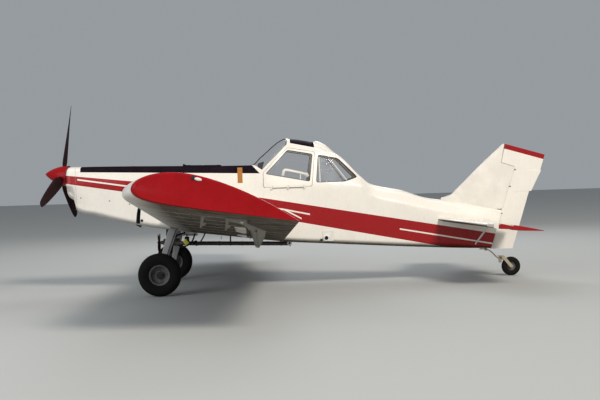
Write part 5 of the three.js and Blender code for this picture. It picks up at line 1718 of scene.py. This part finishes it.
# The gate's box with its flange, hinge lugs, pin and the flange's bolts
def makeGateBox(values):
    x0, x1, w, flange, bottom = values["gate"]
    top, z = values["end"] - 0.3, bottom - 16
    outer = rounded(corners(x0 + 6, x1 - 6, 6 - w, w - 6), 10, 4)
    rim = rounded(corners(x0 - 14, x1 + 24, -w - 16, w + 16), 14, 4)
    ends = ((outer, bottom), (rim, flange))
    outer, rim = (loft(np.stack([atZ(line, low), atZ(line, top)])) for line, low in ends)
    inner = rawBox(x0 + 14, x1 - 14, 14 - w, w - 14, bottom - 20, top + 20)
    room = rawBox(x0 + 5.8, x1 - 5.8, 5.8 - w, w - 5.8, bottom, top + 5)
    shapes = [less(outer, inner), less(rim, inner, hullSolid(2000, 2700, -0.3), room)]
    shapes += [block(x0 + 6, x0 + 22, y - 8, y + 8, z - 8, bottom + 10, 3) for y in (-70, 70)]
    shapes.append(rod((x0 + 14, -78, z), (x0 + 14, 78, z), 5, 16))
    bolts = spaced(corners(x0 - 4, x1 + 14, -w - 6, w + 6), 62)
    return joined([*shapes, studs(atZ(bolts, flange), (0, 0, -1), 7, 4, 6)])


def makeGateDoor(values):
    x0, x1, w, _, bottom = values["gate"]
    z = bottom - 16
    line = rounded(corners(x0 + 26, x1, 6 - w, w - 6), 12, 4)
    return joined([
        loft(np.stack([atZ(grown(line, -d), z + h) for d, h in ((2, 1), (0, 3), (0, 7), (2, 9))])),
        spun(ringLine(5.6, 10, -56, 56), (x0 + 14, 0, z), "Y", 24),
        block(x0 + 20, x0 + 60, -56, 56, z + 1, z + 6, 1.5),
        block(x1 - 34, x1 - 6, -10, 10, z - 14, z + 3, 4),
        *(block(x0 + 60, x1 - 20, y - 4, y + 4, z - 9, z + 3, 2) for y in (-70, 0, 70)),
    ])


piece("gate_box_dressed", makeGateBox(hopper), "aluminium")
piece("gate_door_dressed", makeGateDoor(hopper), "aluminium", "gate_door")

print("stage: cockpit")

cockpit = {
    "dials": [
        (-250, 1740), (-150, 1745), (-50, 1748), (50, 1748), (150, 1745), (250, 1740), (-200, 1640),
        (-100, 1645), (0, 1645), (100, 1645), (200, 1640),
    ],
    "board": [
        (3585, 1560), (3600, 1560), (3622, 1800), (3640, 1812), (3560, 1826), (3560, 1810), (3600, 1800),
    ],
    "visor": [(3498, 1990), (3512, 2002), (3592, 2027), (3602, 2016), (3562, 1880), (3542, 1880)],
    "floor": 912.3, "shelf": 1632.3, "lean": 0.2032, "dialX": 3599, "tilt": 0.0917,
}


def panelDials(values, profile, steps):
    places = [(values["dialX"] + (z - 1560) * values["tilt"], y, z) for y, z in values["dials"]]
    return joined([spun(profile, place, "X", steps) for place in places])


glareShield = {
    "x": (3440, 3590), "gap": 40, "foot": 1846, "rise": 92, "fall": 0.35, "square": 2.6, "thick": 6,
}


# The glare shield: a curved black hood from the windscreen's foot to the panel. Its height across is
# a flat-topped power curve, which sinks by a share of its rise from the front to the back.
def makeGlareShield(values):
    (x0, x1), y, rows = values["x"], np.linspace(-1, 1, 31), []
    for x in np.linspace(x0, x1, 14):
        half = float(hullY(x, 1850)[0]) - values["gap"]
        rise = values["rise"] * (1 - (x - x0) / (x1 - x0) * values["fall"])
        crown = values["foot"] + rise * (1 - np.abs(y) ** values["square"])
        upper = np.column_stack([np.full(31, x), y * half, crown])
        rows.append(np.concatenate([upper, (upper - (0, 0, values["thick"]))[::-1]]))
    return loft(np.stack(rows))


dialRing = [(30, 0), (36, 0), (38, 3), (36, 7), (31, 7), (30, 0)]
board = sidePrism(rounded(cockpit["board"], 4, 3), -500, 500)
visor = sidePrism(rounded(cockpit["visor"], 6, 3), -340, 340)
hoodRoom = hullSolid(3410, 3700, 30)
piece("cabin_floor_dressed", block(3440, 4599, -412, 412, 900, 912, 2), "inside")
piece("instrument_panel_dressed", within(board, hullSolid(3440, 4400, 26.3)), "panel")
piece("dial_rims", panelDials(cockpit, dialRing, 32), "aluminium", slot="bare_steel")
piece("dial_faces", panelDials(cockpit, discLine(30.5, 1, 3), 24), "panel")
piece("panel_visor", within(visor, hoodRoom), "panel")
piece("glare_shield", within(makeGlareShield(glareShield), hoodRoom), "panel")


# Station of the seat back's face at a height
def seatX(z):
    return 4318 + (z - 1216) * cockpit["lean"]


seatFrame = {
    "half": 225, "low": 1200, "high": 1216, "top": 1846, "plates": (-215, 195), "thick": 20,
    "holes": (4050, 4210), "holeZ": 1060, "hole": 46, "edges": (-205, 205), "edge": 9,
}


# The seat's shell: a bent sheet with a rolled edge, and side plates with holes
def makeSeatFrame(values, floor):
    half, low, high, top, z = (values[k] for k in ("half", "low", "high", "top", "holeZ"))
    back = rounded([(4318, high), (4334, low), (4462, top - 4), (seatX(top), top)], 4, 3)
    shapes = [block(3930, 4334, -half, half, low, high, 6), sidePrism(back, -half, half)]
    plate = rounded([(3980, floor), (4300, floor), (4320, low + 5), (3940, low + 5)], 12, 3)
    for y in values["plates"]:
        holes = [rod((x, y - 5, z), (x, y + 25, z), values["hole"], 32, 0.1) for x in values["holes"]]
        shapes.append(less(sidePrism(plate, y, y + values["thick"]), *holes))
    edge = np.array([(3934, 1216), (3990, 1222), (4300, 1222), (4330, 1240), (seatX(1830) - 4, 1830)])
    shapes += [bentTube(atY(edge, y), 6, values["edge"], 12, (0, 1, 0)) for y in values["edges"]]
    return joined(shapes)


piece("seat_frame_dressed", makeSeatFrame(seatFrame, cockpit["floor"]), "tube", slot="gear_paint")


# A crowned pad in its own frame: u across the first side, v across the second, w its thickness.
# Both faces bulge as the product of two flat-topped curves and the sides pull in between corners.
def padShape(uHalf, vHalf, thick, crown, count=30):
    u, v = np.meshgrid(np.linspace(-1, 1, count), np.linspace(-1, 1, count), indexing="ij")
    flat = (1 - np.abs(u) ** 5) * (1 - np.abs(v) ** 5)
    channel = 1 - 0.16 * np.exp(-(((np.abs(v) - 0.36) / 0.035) ** 2))
    x = u * uHalf * (1 - 0.03 * (1 - v**2) * np.abs(u) ** 8)
    y = v * vHalf * (1 - 0.03 * (1 - u**2) * np.abs(v) ** 8)
    top = thick * 0.42 + (thick * 0.5 + crown) * flat**0.6 * channel
    top = top + crown * 0.5 * np.cos(u * 1.5) * np.cos(v * 1.5) * flat
    bottom = thick * 0.42 - thick * 0.42 * flat**0.35
    points = np.stack([np.stack([x, y, z], -1) for z in (top, bottom)])
    size = count * count
    index = np.arange(size).reshape(count, count)
    quads = np.stack([index[:-1, :-1], index[1:, :-1], index[1:, 1:], index[:-1, 1:]], -1).reshape(-1, 4)
    rim = np.concatenate([index[0, :-1], index[:-1, -1], index[-1, :0:-1], index[:0:-1, 0]])
    after = np.roll(rim, -1)
    wall = np.stack([rim, rim + size, after + size, after], -1)
    return points.reshape(-1, 3), quads.tolist() + (quads[:, ::-1] + size).tolist() + wall.tolist()


# Replaces the mesh by what its modifiers make of it
def applied(thing):
    mesh = bpy.data.meshes.new_from_object(evaluated(thing))
    old, name = thing.data, thing.data.name
    thing.modifiers.clear()
    thing.data = mesh
    bpy.data.meshes.remove(old)
    mesh.name = name


puff = {"cap": 0.007, "pressure": 4.0, "voxel": 0.006, "quality": 5, "frames": 20}


# A pad blown up a little by cloth simulation, with its movement capped, then smoothed once
def inflated(pad, values):
    remesh = pad.modifiers.new("even", "REMESH")
    remesh.mode, remesh.voxel_size = "VOXEL", values["voxel"]
    applied(pad)
    before = pointsOf(pad.data)
    cloth = pad.modifiers.new("puff", "CLOTH")
    cloth.settings.use_pressure = True
    cloth.settings.uniform_pressure_force = values["pressure"]
    cloth.settings.effector_weights.gravity = 0
    cloth.settings.quality = values["quality"]
    cloth.point_cache.frame_start, cloth.point_cache.frame_end = 1, values["frames"]
    for number in range(1, values["frames"] + 1):
        scene.frame_set(number)
    applied(pad)
    scene.frame_set(1)
    away = pointsOf(pad.data) - before
    size = np.linalg.norm(away, axis=1, keepdims=True)
    after = before + away * np.minimum(1, values["cap"] / np.maximum(size, 1e-9))
    pad.data.vertices.foreach_set("co", after.ravel())
    smooth = pad.modifiers.new("smooth", "SUBSURF")
    smooth.levels = smooth.render_levels = 1
    applied(pad)
    pad.data.shade_smooth()


seatPads = {
    "cushion": {"place": (4126, 0, 1217), "pad": (182, 208, 62, 6)},
    "back": {"foot": 1300, "top": 1836, "pad": (208, 50, 5)},
}


def makePads(values):
    foot, top = values["back"]["foot"], values["back"]["top"]
    lean, middle = math.atan(cockpit["lean"]), (foot + top) / 2
    s, c = math.sin(lean), math.cos(lean)
    length = math.hypot(seatX(top) - seatX(foot), top - foot) / 2
    upright = Matrix(((s, 0, -c), (0, 1, 0), (c, 0, s))).to_4x4()
    back = turned(padShape(length, *values["back"]["pad"]), upright)
    cushion = moved(padShape(*values["cushion"]["pad"]), values["cushion"]["place"])
    shapes = {"cushion": cushion, "back": moved(back, (seatX(middle) - 1.5, 0, middle))}
    made = [piece("seat_%s_padded" % key, shapes[key], "cloth", angle=60) for key in shapes]
    for pad in made:
        inflated(pad, puff)


makePads(seatPads)


# A flat ribbon along a bent line, its width along across
def strap(path, wide, across=(0, 1, 0), thick=3.0):
    line, across = smoothPath(path, 8), np.asarray(across, float)
    along = tangents(line)
    side = unit(across[None] - along * (along @ across)[:, None])
    up = np.cross(along, side)
    return ladder([line + side * a * wide / 2 + up * b * thick / 2 for a, b in corners(-1, 1, -1, 1)])


harness = {
    # the shoulder strap's first points are counted from the seat back's top edge
    "over": [(14, 70, 1800), (-6, 72, 1858), (-66, 76, 1846), (-104, 84, 1700), (-130, 78, 1500)],
    "down": [(4214, 56, 1330), (4150, 34, 1300)],
    "lap": [(4310, 222, 1228), (4260, 216, 1286), (4190, 130, 1306), (4132, 30, 1306)],
    "wide": 44, "lapWide": 48, "lapAcross": (1, 0, 0.2),
    "buckle": [(0.1, 1298), (34, 1298), (36, 1301), (34, 1312), (10, 1315), (0.1, 1315)],
}


# The shoulder strap and the lap strap on each side
def makeHarness(values):
    shoulder = [(seatX(1850) + x, y, z) for x, y, z in values["over"]] + values["down"]
    shapes = []
    for side in (-1, 1):
        shapes.append(strap(np.array(shoulder) * (1, side, 1), values["wide"]))
        lap = np.array(values["lap"]) * (1, side, 1)
        shapes.append(strap(lap, values["lapWide"], values["lapAcross"]))
    return joined(shapes)


piece("seat_harness", makeHarness(harness), "strap", angle=50)
piece("harness_buckle", spun(harness["buckle"], (4140, 0, 0), "Z", 32), "aluminium", slot="bare_steel")

stick = {
    "grip": [
        (3850, 0, 1398), (3852, 0, 1410), (3856, 0, 1450), (3860, 0, 1500), (3862, 0, 1518),
        (3862, 0, 1521),
    ],
    "boot": [
        (0.1, 912.4), (40, 912.4), (40, 918), (34, 924), (36, 930), (28, 936), (30, 942), (18, 950),
        (0.1, 951),
    ],
}


def makeStick(values):
    return joined([
        rod((3790, 0, 930), (3850, 0, 1400), 12, 20),
        tube(values["grip"], [15, 19, 17, 19, 18, 12], 20, (0, 1, 0)),
        spun(values["boot"], (3790, 0, 0), "Z", 32),
    ])


piece("control_stick_dressed", makeStick(stick), "panel")

roll = {"x": 4500, "head": (240, 2140), "knee": (440, 1640), "foot": 402, "tube": 15, "brace": (4985, 300)}


# The white tube frame behind the seat: two bent uprights, two cross tubes, two braces and foot plates
def makeRollFrame(values, floor, shelf):
    x, foot, (hy, hz), (ky, kz), (bx, by) = (values[k] for k in ("x", "foot", "head", "knee", "brace"))
    upright = [
        (x, foot, floor + 2), (x, foot + 20, 1250), (x, ky, kz), (x, (ky + hy) / 2 + 4, (kz + hz) / 2),
        (x, hy + 8, hz - 18),
    ]
    half = [
        bentTube(upright, 10, values["tube"], 20, (1, 0, 0)),
        rod((4570, 215, 2200), (bx, by, shelf + 4), 12, 18),
        spun([(0.1, 0), (30, 0), (30, 5), (16, 8), (0.1, 8)], (bx, by, shelf), "Z", 20),
        block(x - 22, x + 22, foot - 12, foot + 8, floor, floor + 8, 2),
    ]
    cross = rod((x, -hy - 4, hz - 8), (x, hy + 4, hz - 8), 15, 20)
    return joined([cross, rod((x + 2, -300, 1960), (x + 2, 300, 1960), 11, 16), bothSides(joined(half))])


rail = {
    "path": [
        (3936, 412, 1800), (3958, 406, 1872), (4000, 404, 1886), (4150, 406, 1852), (4320, 408, 1806),
        (4338, 408, 1770),
    ],
    "grip": [(4314, 408, 1836), (4316, 408, 1828), (4322, 408, 1790), (4324, 408, 1782)],
    "legs": [
        [(3966, 408, 1862), (3930, 418, 1800), (3912, 434, 1740)],
        [(4226, 408, 1826), (4222, 422, 1780), (4220, 438, 1720)],
    ],
    "tube": 27, "leg": 11, "sleeve": [20, 33, 33, 20], "nudge": (-38, 0, -13),
}


# The padded rail on the near side of the cockpit, on two legs from the sill
def makeRail(values):
    shapes = [bentTube(values["path"], 8, values["tube"], 24, (0, 1, 0))]
    shapes.append(tube(values["grip"], values["sleeve"], 24, (0, 1, 0)))
    shapes += [bentTube(leg, 6, values["leg"], 14, (0, 1, 0)) for leg in values["legs"]]
    return moved(onSide(-1, joined(shapes)), values["nudge"])


piece("roll_frame_dressed", makeRollFrame(roll, cockpit["floor"], cockpit["shelf"]), "tube")
piece("cockpit_rail", makeRail(rail), "tube")

print("stage: spray gear and small fittings")

spray = {
    "x": 1842, "z": 742, "fan": 200, "pipe": 34,
    "path": [
        (2040, 0, 748), (2110, -70, 742), (2180, -160, 736), (2290, -186, 728), (2460, -182, 720),
        (2560, -95, 713), (2625, -12, 706.1), (2690, 0, 703.8), (2742, 0, 702),
    ],
    "body": [
        (0.1, 20), (28, 20), (30, 24), (30, 60), (54, 62), (62, 72), (62, 96), (56, 100), (56, 150),
        (60, 154), (60, 166), (56, 170), (56, 250), (62, 254), (62, 320), (54, 330), (0.1, 330),
    ],
    "fanHub": [(10.8, -34), (22, -34), (34, -20), (34, 10), (30, 14), (10.8, 14), (10.8, -34)],
    # shares of the fan's blade, and the chord or the pitch there
    "chord": ([0, 0.35, 0.85, 0.97, 1], [40, 62, 50, 34, 14]), "pitch": ([0, 0.35, 1], [50, 40, 24]),
    "root": 26, "first": 45, "blades": 4,
}


# The wind-driven pump: a ribbed body on two brackets, and its pipe past the gate with two couplings
def makePump(values):
    x, z = values["x"], values["z"]
    shapes = [spun(values["body"], (x, 0, z), "X", 40), rod((x - 40, 0, z), (x + 30, 0, z), 10, 20)]
    shapes.append(bentTube(values["path"], 8, values["pipe"], 24))
    for spot in (2, 4):
        path = [np.array(values["path"][spot]) + (dx, 0, 0) for dx in (-9, -8, 8, 9)]
        shapes.append(tube(path, [42, 44, 44, 42], 24))
    webs = []
    for a in (x + 110, x + 250):
        web = rounded([(a, z + 40), (a + 30, z + 40), (a + 60, 1050), (a, 1050)], 4, 2)
        webs.append(sidePrism(web, -10, 10))
    webs = less(joined(webs), hullSolid(1500, 2900, -0.3), rawBox(2192, 2512, -200, 200, 800, 1000))
    return joined([*shapes, webs])


# The pump's fan: a hub and its twisted blades, each an ellipse in section
def makeFan(values):
    x, z, root = (values[k] for k in ("x", "z", "root"))
    share, angle = np.linspace(0, 1, 14), around(20)
    chord, pitch = (np.interp(share, *values[k]) for k in ("chord", "pitch"))
    reach = root + (values["fan"] - root) * share
    u = 0.5 * np.cos(angle) * chord[:, None]
    v = (3.5 * np.sin(angle))[None] + 0 * u
    shapes = [spun(values["fanHub"], (x, 0, z), "X", 32)]
    start, pitch = np.array([x - 10, 0, z]), np.radians(pitch)
    for i in range(values["blades"]):
        a = math.radians(values["first"] + 360 / values["blades"] * i)
        out, side = np.array([0, math.cos(a), math.sin(a)]), np.array([0, -math.sin(a), math.cos(a)])
        shapes.append(bladeSolid(start, out, reach, pitch, side, (1.0, 0, 0), u, v))
    return joined(shapes)


piece("spray_pump_dressed", makePump(spray), "engine")
piece("pump_fan_dressed", makeFan(spray), "blade", "pump_fan", slot="red_paint")

belly = {
    "start": (2742.5, 0, 701.9), "end": (3990, 0, 659), "slope": 0.0344, "joints": (2830, 3210, 3630),
    "hangers": (3000, 3420, 3840),
    "joint": [(33.8, -8), (38, -8), (39, -6), (39, 6), (38, 8), (33.8, 8), (33.8, -8)],
    "cap": [(0.1, 0), (20, 0), (22, 4), (38, 4), (46, 6), (46, 24), (38, 26), (0.1, 26)],
    "ring": [(17, 0), (36, 0), (40, 3), (40, 13), (36, 16), (21, 16), (17, 12), (17, 0)],
    "tube": [
        (2560, -60, 742), (2700, -40, 772), (3000, -30, 776), (3500, -30, 752), (3940, -30, 720),
        (3990, -30, 706),
    ],
    "clips": ((2860, 776), (3340, 760), (3800, 731)),
}
bellySkin = hullSolid(2500, 4400, -0.3)


# The pipe under the belly with its joints and hangers
def makeBellyPipe(values):
    def pipeZ(x):
        return values["start"][2] - (x - values["start"][0]) * values["slope"]

    shapes = [rod(values["start"], values["end"], 34, 28)]
    shapes += [spun(values["joint"], (x, 0, pipeZ(x)), "X", 28) for x in values["joints"]]
    for x in values["hangers"]:
        hanger = less(block(x, x + 24, -8, 8, 660, 900, 2), bellySkin)
        shapes += [hanger, spun(ringLine(34, 38, -10, 10), (x + 12, 0, pipeZ(x)), "X", 28)]
    return joined(shapes)


# A light thin tube under the belly beside the pipe, with its clips
def makeThinTube(values):
    clips = [block(x - 7, x + 7, -37, -23, z - 7, z + 40, 2) for x, z in values["clips"]]
    return less(joined([bentTube(values["tube"], 8, 7, 12, (0, 1, 0)), *clips]), bellySkin)


plug = [
    spun(discLine(17.2, 4, 8), (3990, -56, 668), "Y", 32), rod((3990, -44, 668), (3990, 0, 662), 16, 20),
]
piece("belly_pipe_dressed", makeBellyPipe(belly), "engine", slot="bare_steel")
piece("pipe_end_cap", spun(belly["cap"], (3985, 0, 659), "X", 40), "white", slot="tube_white")
piece("pipe_end_ring", spun(belly["ring"], (3990, -56, 668), "Y", 40), "tube")
piece("pipe_end_plug", joined(plug), "panel", slot="bare_steel")
piece("belly_tube", makeThinTube(belly), "tube")

hoses = [
    # radius, line
    (15, [(2090, -64, 760), (2070, -120, 800), (2120, -180, 850), (2200, -205, 880), (2280, -190, 905)]),
    (13, [(2150, -54, 700), (2200, -130, 670), (2300, -215, 690), (2390, -230, 760), (2440, -210, 880)]),
    (11, [(2520, -130, 740), (2560, -150, 800), (2600, -140, 880)]),
]


# Hoses and valves crowded round the pump, on the port side below the gate
def makeHoses(lines):
    return joined([
        *(bentTube(line, 8, radius) for radius, line in lines), block(2270, 2345, -250, -214, 736, 838, 8),
        rod((2308, -232, 838), (2308, -232, 880), 9, 14), rod((2400, -230, 730), (2470, -230, 752), 26, 20),
    ])


label = moved(turned(block(-34, 34, -1.2, 1.2, -44, 44, 1), turn(-35, "Y")), (2289, -252, 749))
piece("spray_hoses", makeHoses(hoses), "rubber")
piece("blank_label", label, "label")


# The wing's form near the boom hangers, lowered a little
def hangerSkin(lower):
    return moved(loft(wingGrid(np.linspace(4400, 4815, 8))), (0, 0, -lower))


boomHanger = {
    "y": 4700, "thick": 8, "wide": 30,
    # distance aft of the hinge line, height
    "web": [
        (-63, 80), (-48, -80), (180, -128), (182, -200), (140, -330), (98, -330), (10, -160), (-68, -110),
        (-290, -84), (-290, 80),
    ],
    "holes": ((-100, -78, 17), (70, -150, 14)),
    "straps": (
        (8, -156, 100, -324), (178, -198, 138, -324), (-44, -88, 176, -134), (60, -124, 120, -324),
    ),
}


# The sheet hanger under each wing: a bracket with holes below the rear spar, a V hanging behind it,
# and a foot that follows the wing's skin
def makeBoomHanger(values, x):
    y = values["y"]
    web = rounded([(x + a, z) for a, z in values["web"]], 6, 2)
    holes = [rod((x + a, y - 5, z), (x + a, y + 13, z), r, 24, 0.1) for a, z, r in values["holes"]]
    shapes = [less(sidePrism(web, y, y + values["thick"]), hangerSkin(0.4), *holes)]
    for a, az, b, bz in values["straps"]:
        line = atY([(x + a, az), ((x + a + (x + b)) / 2, (az + bz) / 2), (x + b, bz)], y + 4)
        shapes.append(strap(line, values["wide"]))
    shapes.append(block(x + 98, x + 138, y - 16, y + 24, -330, -313, 3))
    foot = rawBox(x - 300, x - hingeR - 40, y - 30, y + 38, -200, 80)
    return joined([*shapes, less(within(foot, hangerSkin(10)), hangerSkin(0.4))])


smallHanger = {"x": (1179, 893), "y": 4500, "drop": 130, "eye": 118}


# The small hangers further in: short posts with a fork
def makeSmallHanger(values, x):
    y, top = values["y"], float(foilZ(x / wing["chord"], -1) * wing["chord"])
    foot, eye = top - values["drop"], top - values["eye"]
    post = [(x - 20, top), (x + 20, top), (x + 10, foot), (x - 12, foot)]
    prong = [(x - 12, top - 80), (x + 44, top - 66), (x + 50, top - 80), (x - 6, foot)]
    return joined([
        block(x - 26, x + 26, y - 22, y + 22, top - 6, top + 2, 2),
        sidePrism(rounded(post, 6, 3), y - 4, y + 4),
        sidePrism(rounded(prong, 6, 3), y - 3, y + 3),
        rod((x, y - 16, eye), (x, y + 16, eye), 9, 14),
    ])


smallHangers = joined([makeSmallHanger(smallHanger, x) for x in smallHanger["x"]])
hangerShapes = makeBoomHanger(boomHanger, hingeX), smallHangers, hingeBrackets()
for side, word in sideWords:
    boom, small, brackets = (winged(side, shape) for shape in hangerShapes)
    piece("boom_hanger_%s_dressed" % word, boom, "bareGrey")
    piece("small_hangers_" + word, small, "bareGrey")
    piece("hinge_brackets_" + word, brackets, "white")

port = {
    "x": 4603, "z": 790, "half": 88, "face": 462, "ringAt": (-30, -34),
    "ring": [(32, -46), (45, -46), (45, -38), (42, -36), (42, -12), (52, -8), (52, 2), (32, 2), (32, -46)],
}


# The filling port: a plate with a rounded edge, the coupling's ring, its two ears and bolts
def makePort(values):
    x, z, half, face, (dx, dz) = (values[k] for k in ("x", "z", "half", "face", "ringAt"))
    line = rounded(corners(x - half, x + half, z - half, z + half), 12, 4)
    plate = loft(np.stack([atY(grown(line, -d), y) for d, y in ((0, -380), (0, -face + 3), (3, -face))]))
    ears = [x + dx + s * 46 for s in (-1, 1)]
    ears = [block(a - 7, a + 7, -face - 30, -face - 20, z - 46, z - 22, 3) for a in ears]
    bolts = [
        (x - 70, z - 70), (x + 70, z - 70), (x + 70, z + 70), (x - 70, z + 70), (x, z + 74), (x, z - 74),
    ]
    return joined([
        less(plate, hullSolid(4300, 4900, -0.3)), spun(values["ring"], (x + dx, -face, z + dz), "Y", 40),
        *ears, studs(atY(bolts, -face), (0, -1, 0), 7, 4, 6),
    ])


# Inside the port: a black disc across the coupling's bore, painted shade for the open hole, and a dark block
# beside the plate
def portInside(values):
    x, z, face, (dx, dz) = (values[k] for k in ("x", "z", "face", "ringAt"))
    disc = spun(discLine(32.2, -6, -2), (x + dx, -face, z + dz), "Y", 32)
    return joined([disc, block(x - 130, x - 92, -474, -462, z - 84, z - 46, 5)])


piece("loading_port_dressed", makePort(port), "tube", slot="gate_metal")
piece("loading_port_inside", portInside(port), "panel")


tailStrut = {"foot": (7091, 100, 540), "head": (7148, 905, 905), "radius": 14}


# A strut from the tail cone to the stabiliser, cut where it meets them
def makeTailStrut(values):
    made = less(rod(values["foot"], values["head"], values["radius"], 20), tailSkin())
    above = rawBox(-900, 200, 0, 2200, -tail["half"] * 0.9, 400)
    return turned(less(turned(made, tailTurn.inverted()), above), tailTurn)


strutShape = makeTailStrut(tailStrut)
for side, word in sideWords:
    piece("tail_strut_%s_dressed" % word, onSide(side, strutShape), "tube", slot="gear_paint")

exhaust = {
    "x": 1607, "z": 1130, "ring": [(14, -10), (20, -10), (22, -3), (20, 2), (14, 2), (14, -10)],
    "stub": [(1500, -300, 1070), (1502, -300, 1070), (1560, -306, 1040), (1578, -308, 1026)],
}


# The exhaust's outlet low on the port side behind the cooling exit
def makeExhaust(values):
    x, z = values["x"], values["z"]
    centre = (x, -float(hullY(x, z)[0]) - 1, z)
    return joined([spun(values["ring"], centre, "Y", 28), spun(discLine(14.2, -2, 0), centre, "Y", 24)])


piece("exhaust_outlet", makeExhaust(exhaust), "panel", slot="engine_metal")
piece("exhaust_stub", tube(exhaust["stub"], [14, 18, 19, 19], 20, (0, 1, 0)), "panel", slot="engine_metal")

# A small clear dome on a dark base, near the top edge of each tip's upright end
navLight = {
    "lean": shift(2804, 5906, 1706) @ turn(14, "Y"),
    "long": shift(18, 0, 0) @ Matrix.Diagonal((2.1, 1, 0.95, 1)),
    "base": [(0.1, -6), (22, -6), (22, 10), (18, 14), (0.1, 14)],
    "dome": [(0.1, -4), (20, -4), (19, 12), (13, 20), (0.1, 24)],
}
lightBase = turned(spun(navLight["base"], (-36, 0, 2), "Y", 28), navLight["lean"])
lightDome = turned(spun(navLight["dome"], steps=32), navLight["lean"] @ navLight["long"])
for side, word in sideWords:
    piece("nav_light_base_" + word, onSide(side, lightBase), "panel")
    piece("nav_light_dome_" + word, onSide(side, lightDome), "tube", slot="clear_glass")

print("stage: the other CAD pieces with their finish")
for node in cadNodes:
    if node not in remade:
        slot = slotOfNode[node]
        mesh = welded(cadNodes[node].data.copy(), 2e-5)
        placed(node + "_skin", mesh, finishOfSlot[slot], bodyOfNode[node])

floorLook = {"half": 150.0, "colour": colour(0.44, 0.45, 0.44), "rough": 0.9}


def makeFloor(values):
    h = values["half"]
    mesh = bpy.data.meshes.new("floor")
    mesh.from_pydata([(x, y, 0) for x, y in corners(-h, h, -h, h)], [], [(0, 1, 2, 3)])
    floor = bpy.data.objects.new("floor", mesh)
    material, shader = startMaterial("floorPaint")
    feed(shader, {"Base Color": values["colour"], "Roughness": values["rough"]})
    mesh.materials.append(material)
    scene.collection.objects.link(floor)


studioLights = [
    # name, place, aim, size, power, colour
    ("key", (16.0, -29.0, 27.0), (0, -1, 1), 11.0, 13500, (1.0, 0.93, 0.83)),
    ("fill", (-12.0, -11.0, 6.0), (-2, 0, 1.5), 9.0, 900, (0.92, 0.95, 1.0)),
    ("back", (2.0, 13.0, 11.0), (0, 0, 1), 8.0, 900, (0.95, 0.97, 1.0)),
]
sky = {"colour": colour(0.56, 0.60, 0.64), "strength": 0.55}


def makeLights(lights, values):
    for name, place, aim, size, power, tint in lights:
        data = bpy.data.lights.new(name, "AREA")
        data.size, data.energy, data.color = size, power, tint
        light = bpy.data.objects.new(name, data)
        light.location = place
        light.rotation_mode = "QUATERNION"
        light.rotation_quaternion = (Vector(aim) - Vector(place)).to_track_quat("-Z", "Y")
        scene.collection.objects.link(light)
    world = bpy.data.worlds.new("studio")
    world.use_nodes = True
    background = world.node_tree.nodes["Background"]
    background.inputs["Color"].default_value = values["colour"]
    background.inputs["Strength"].default_value = values["strength"]
    scene.world = world


makeFloor(floorLook)
makeLights(studioLights, sky)
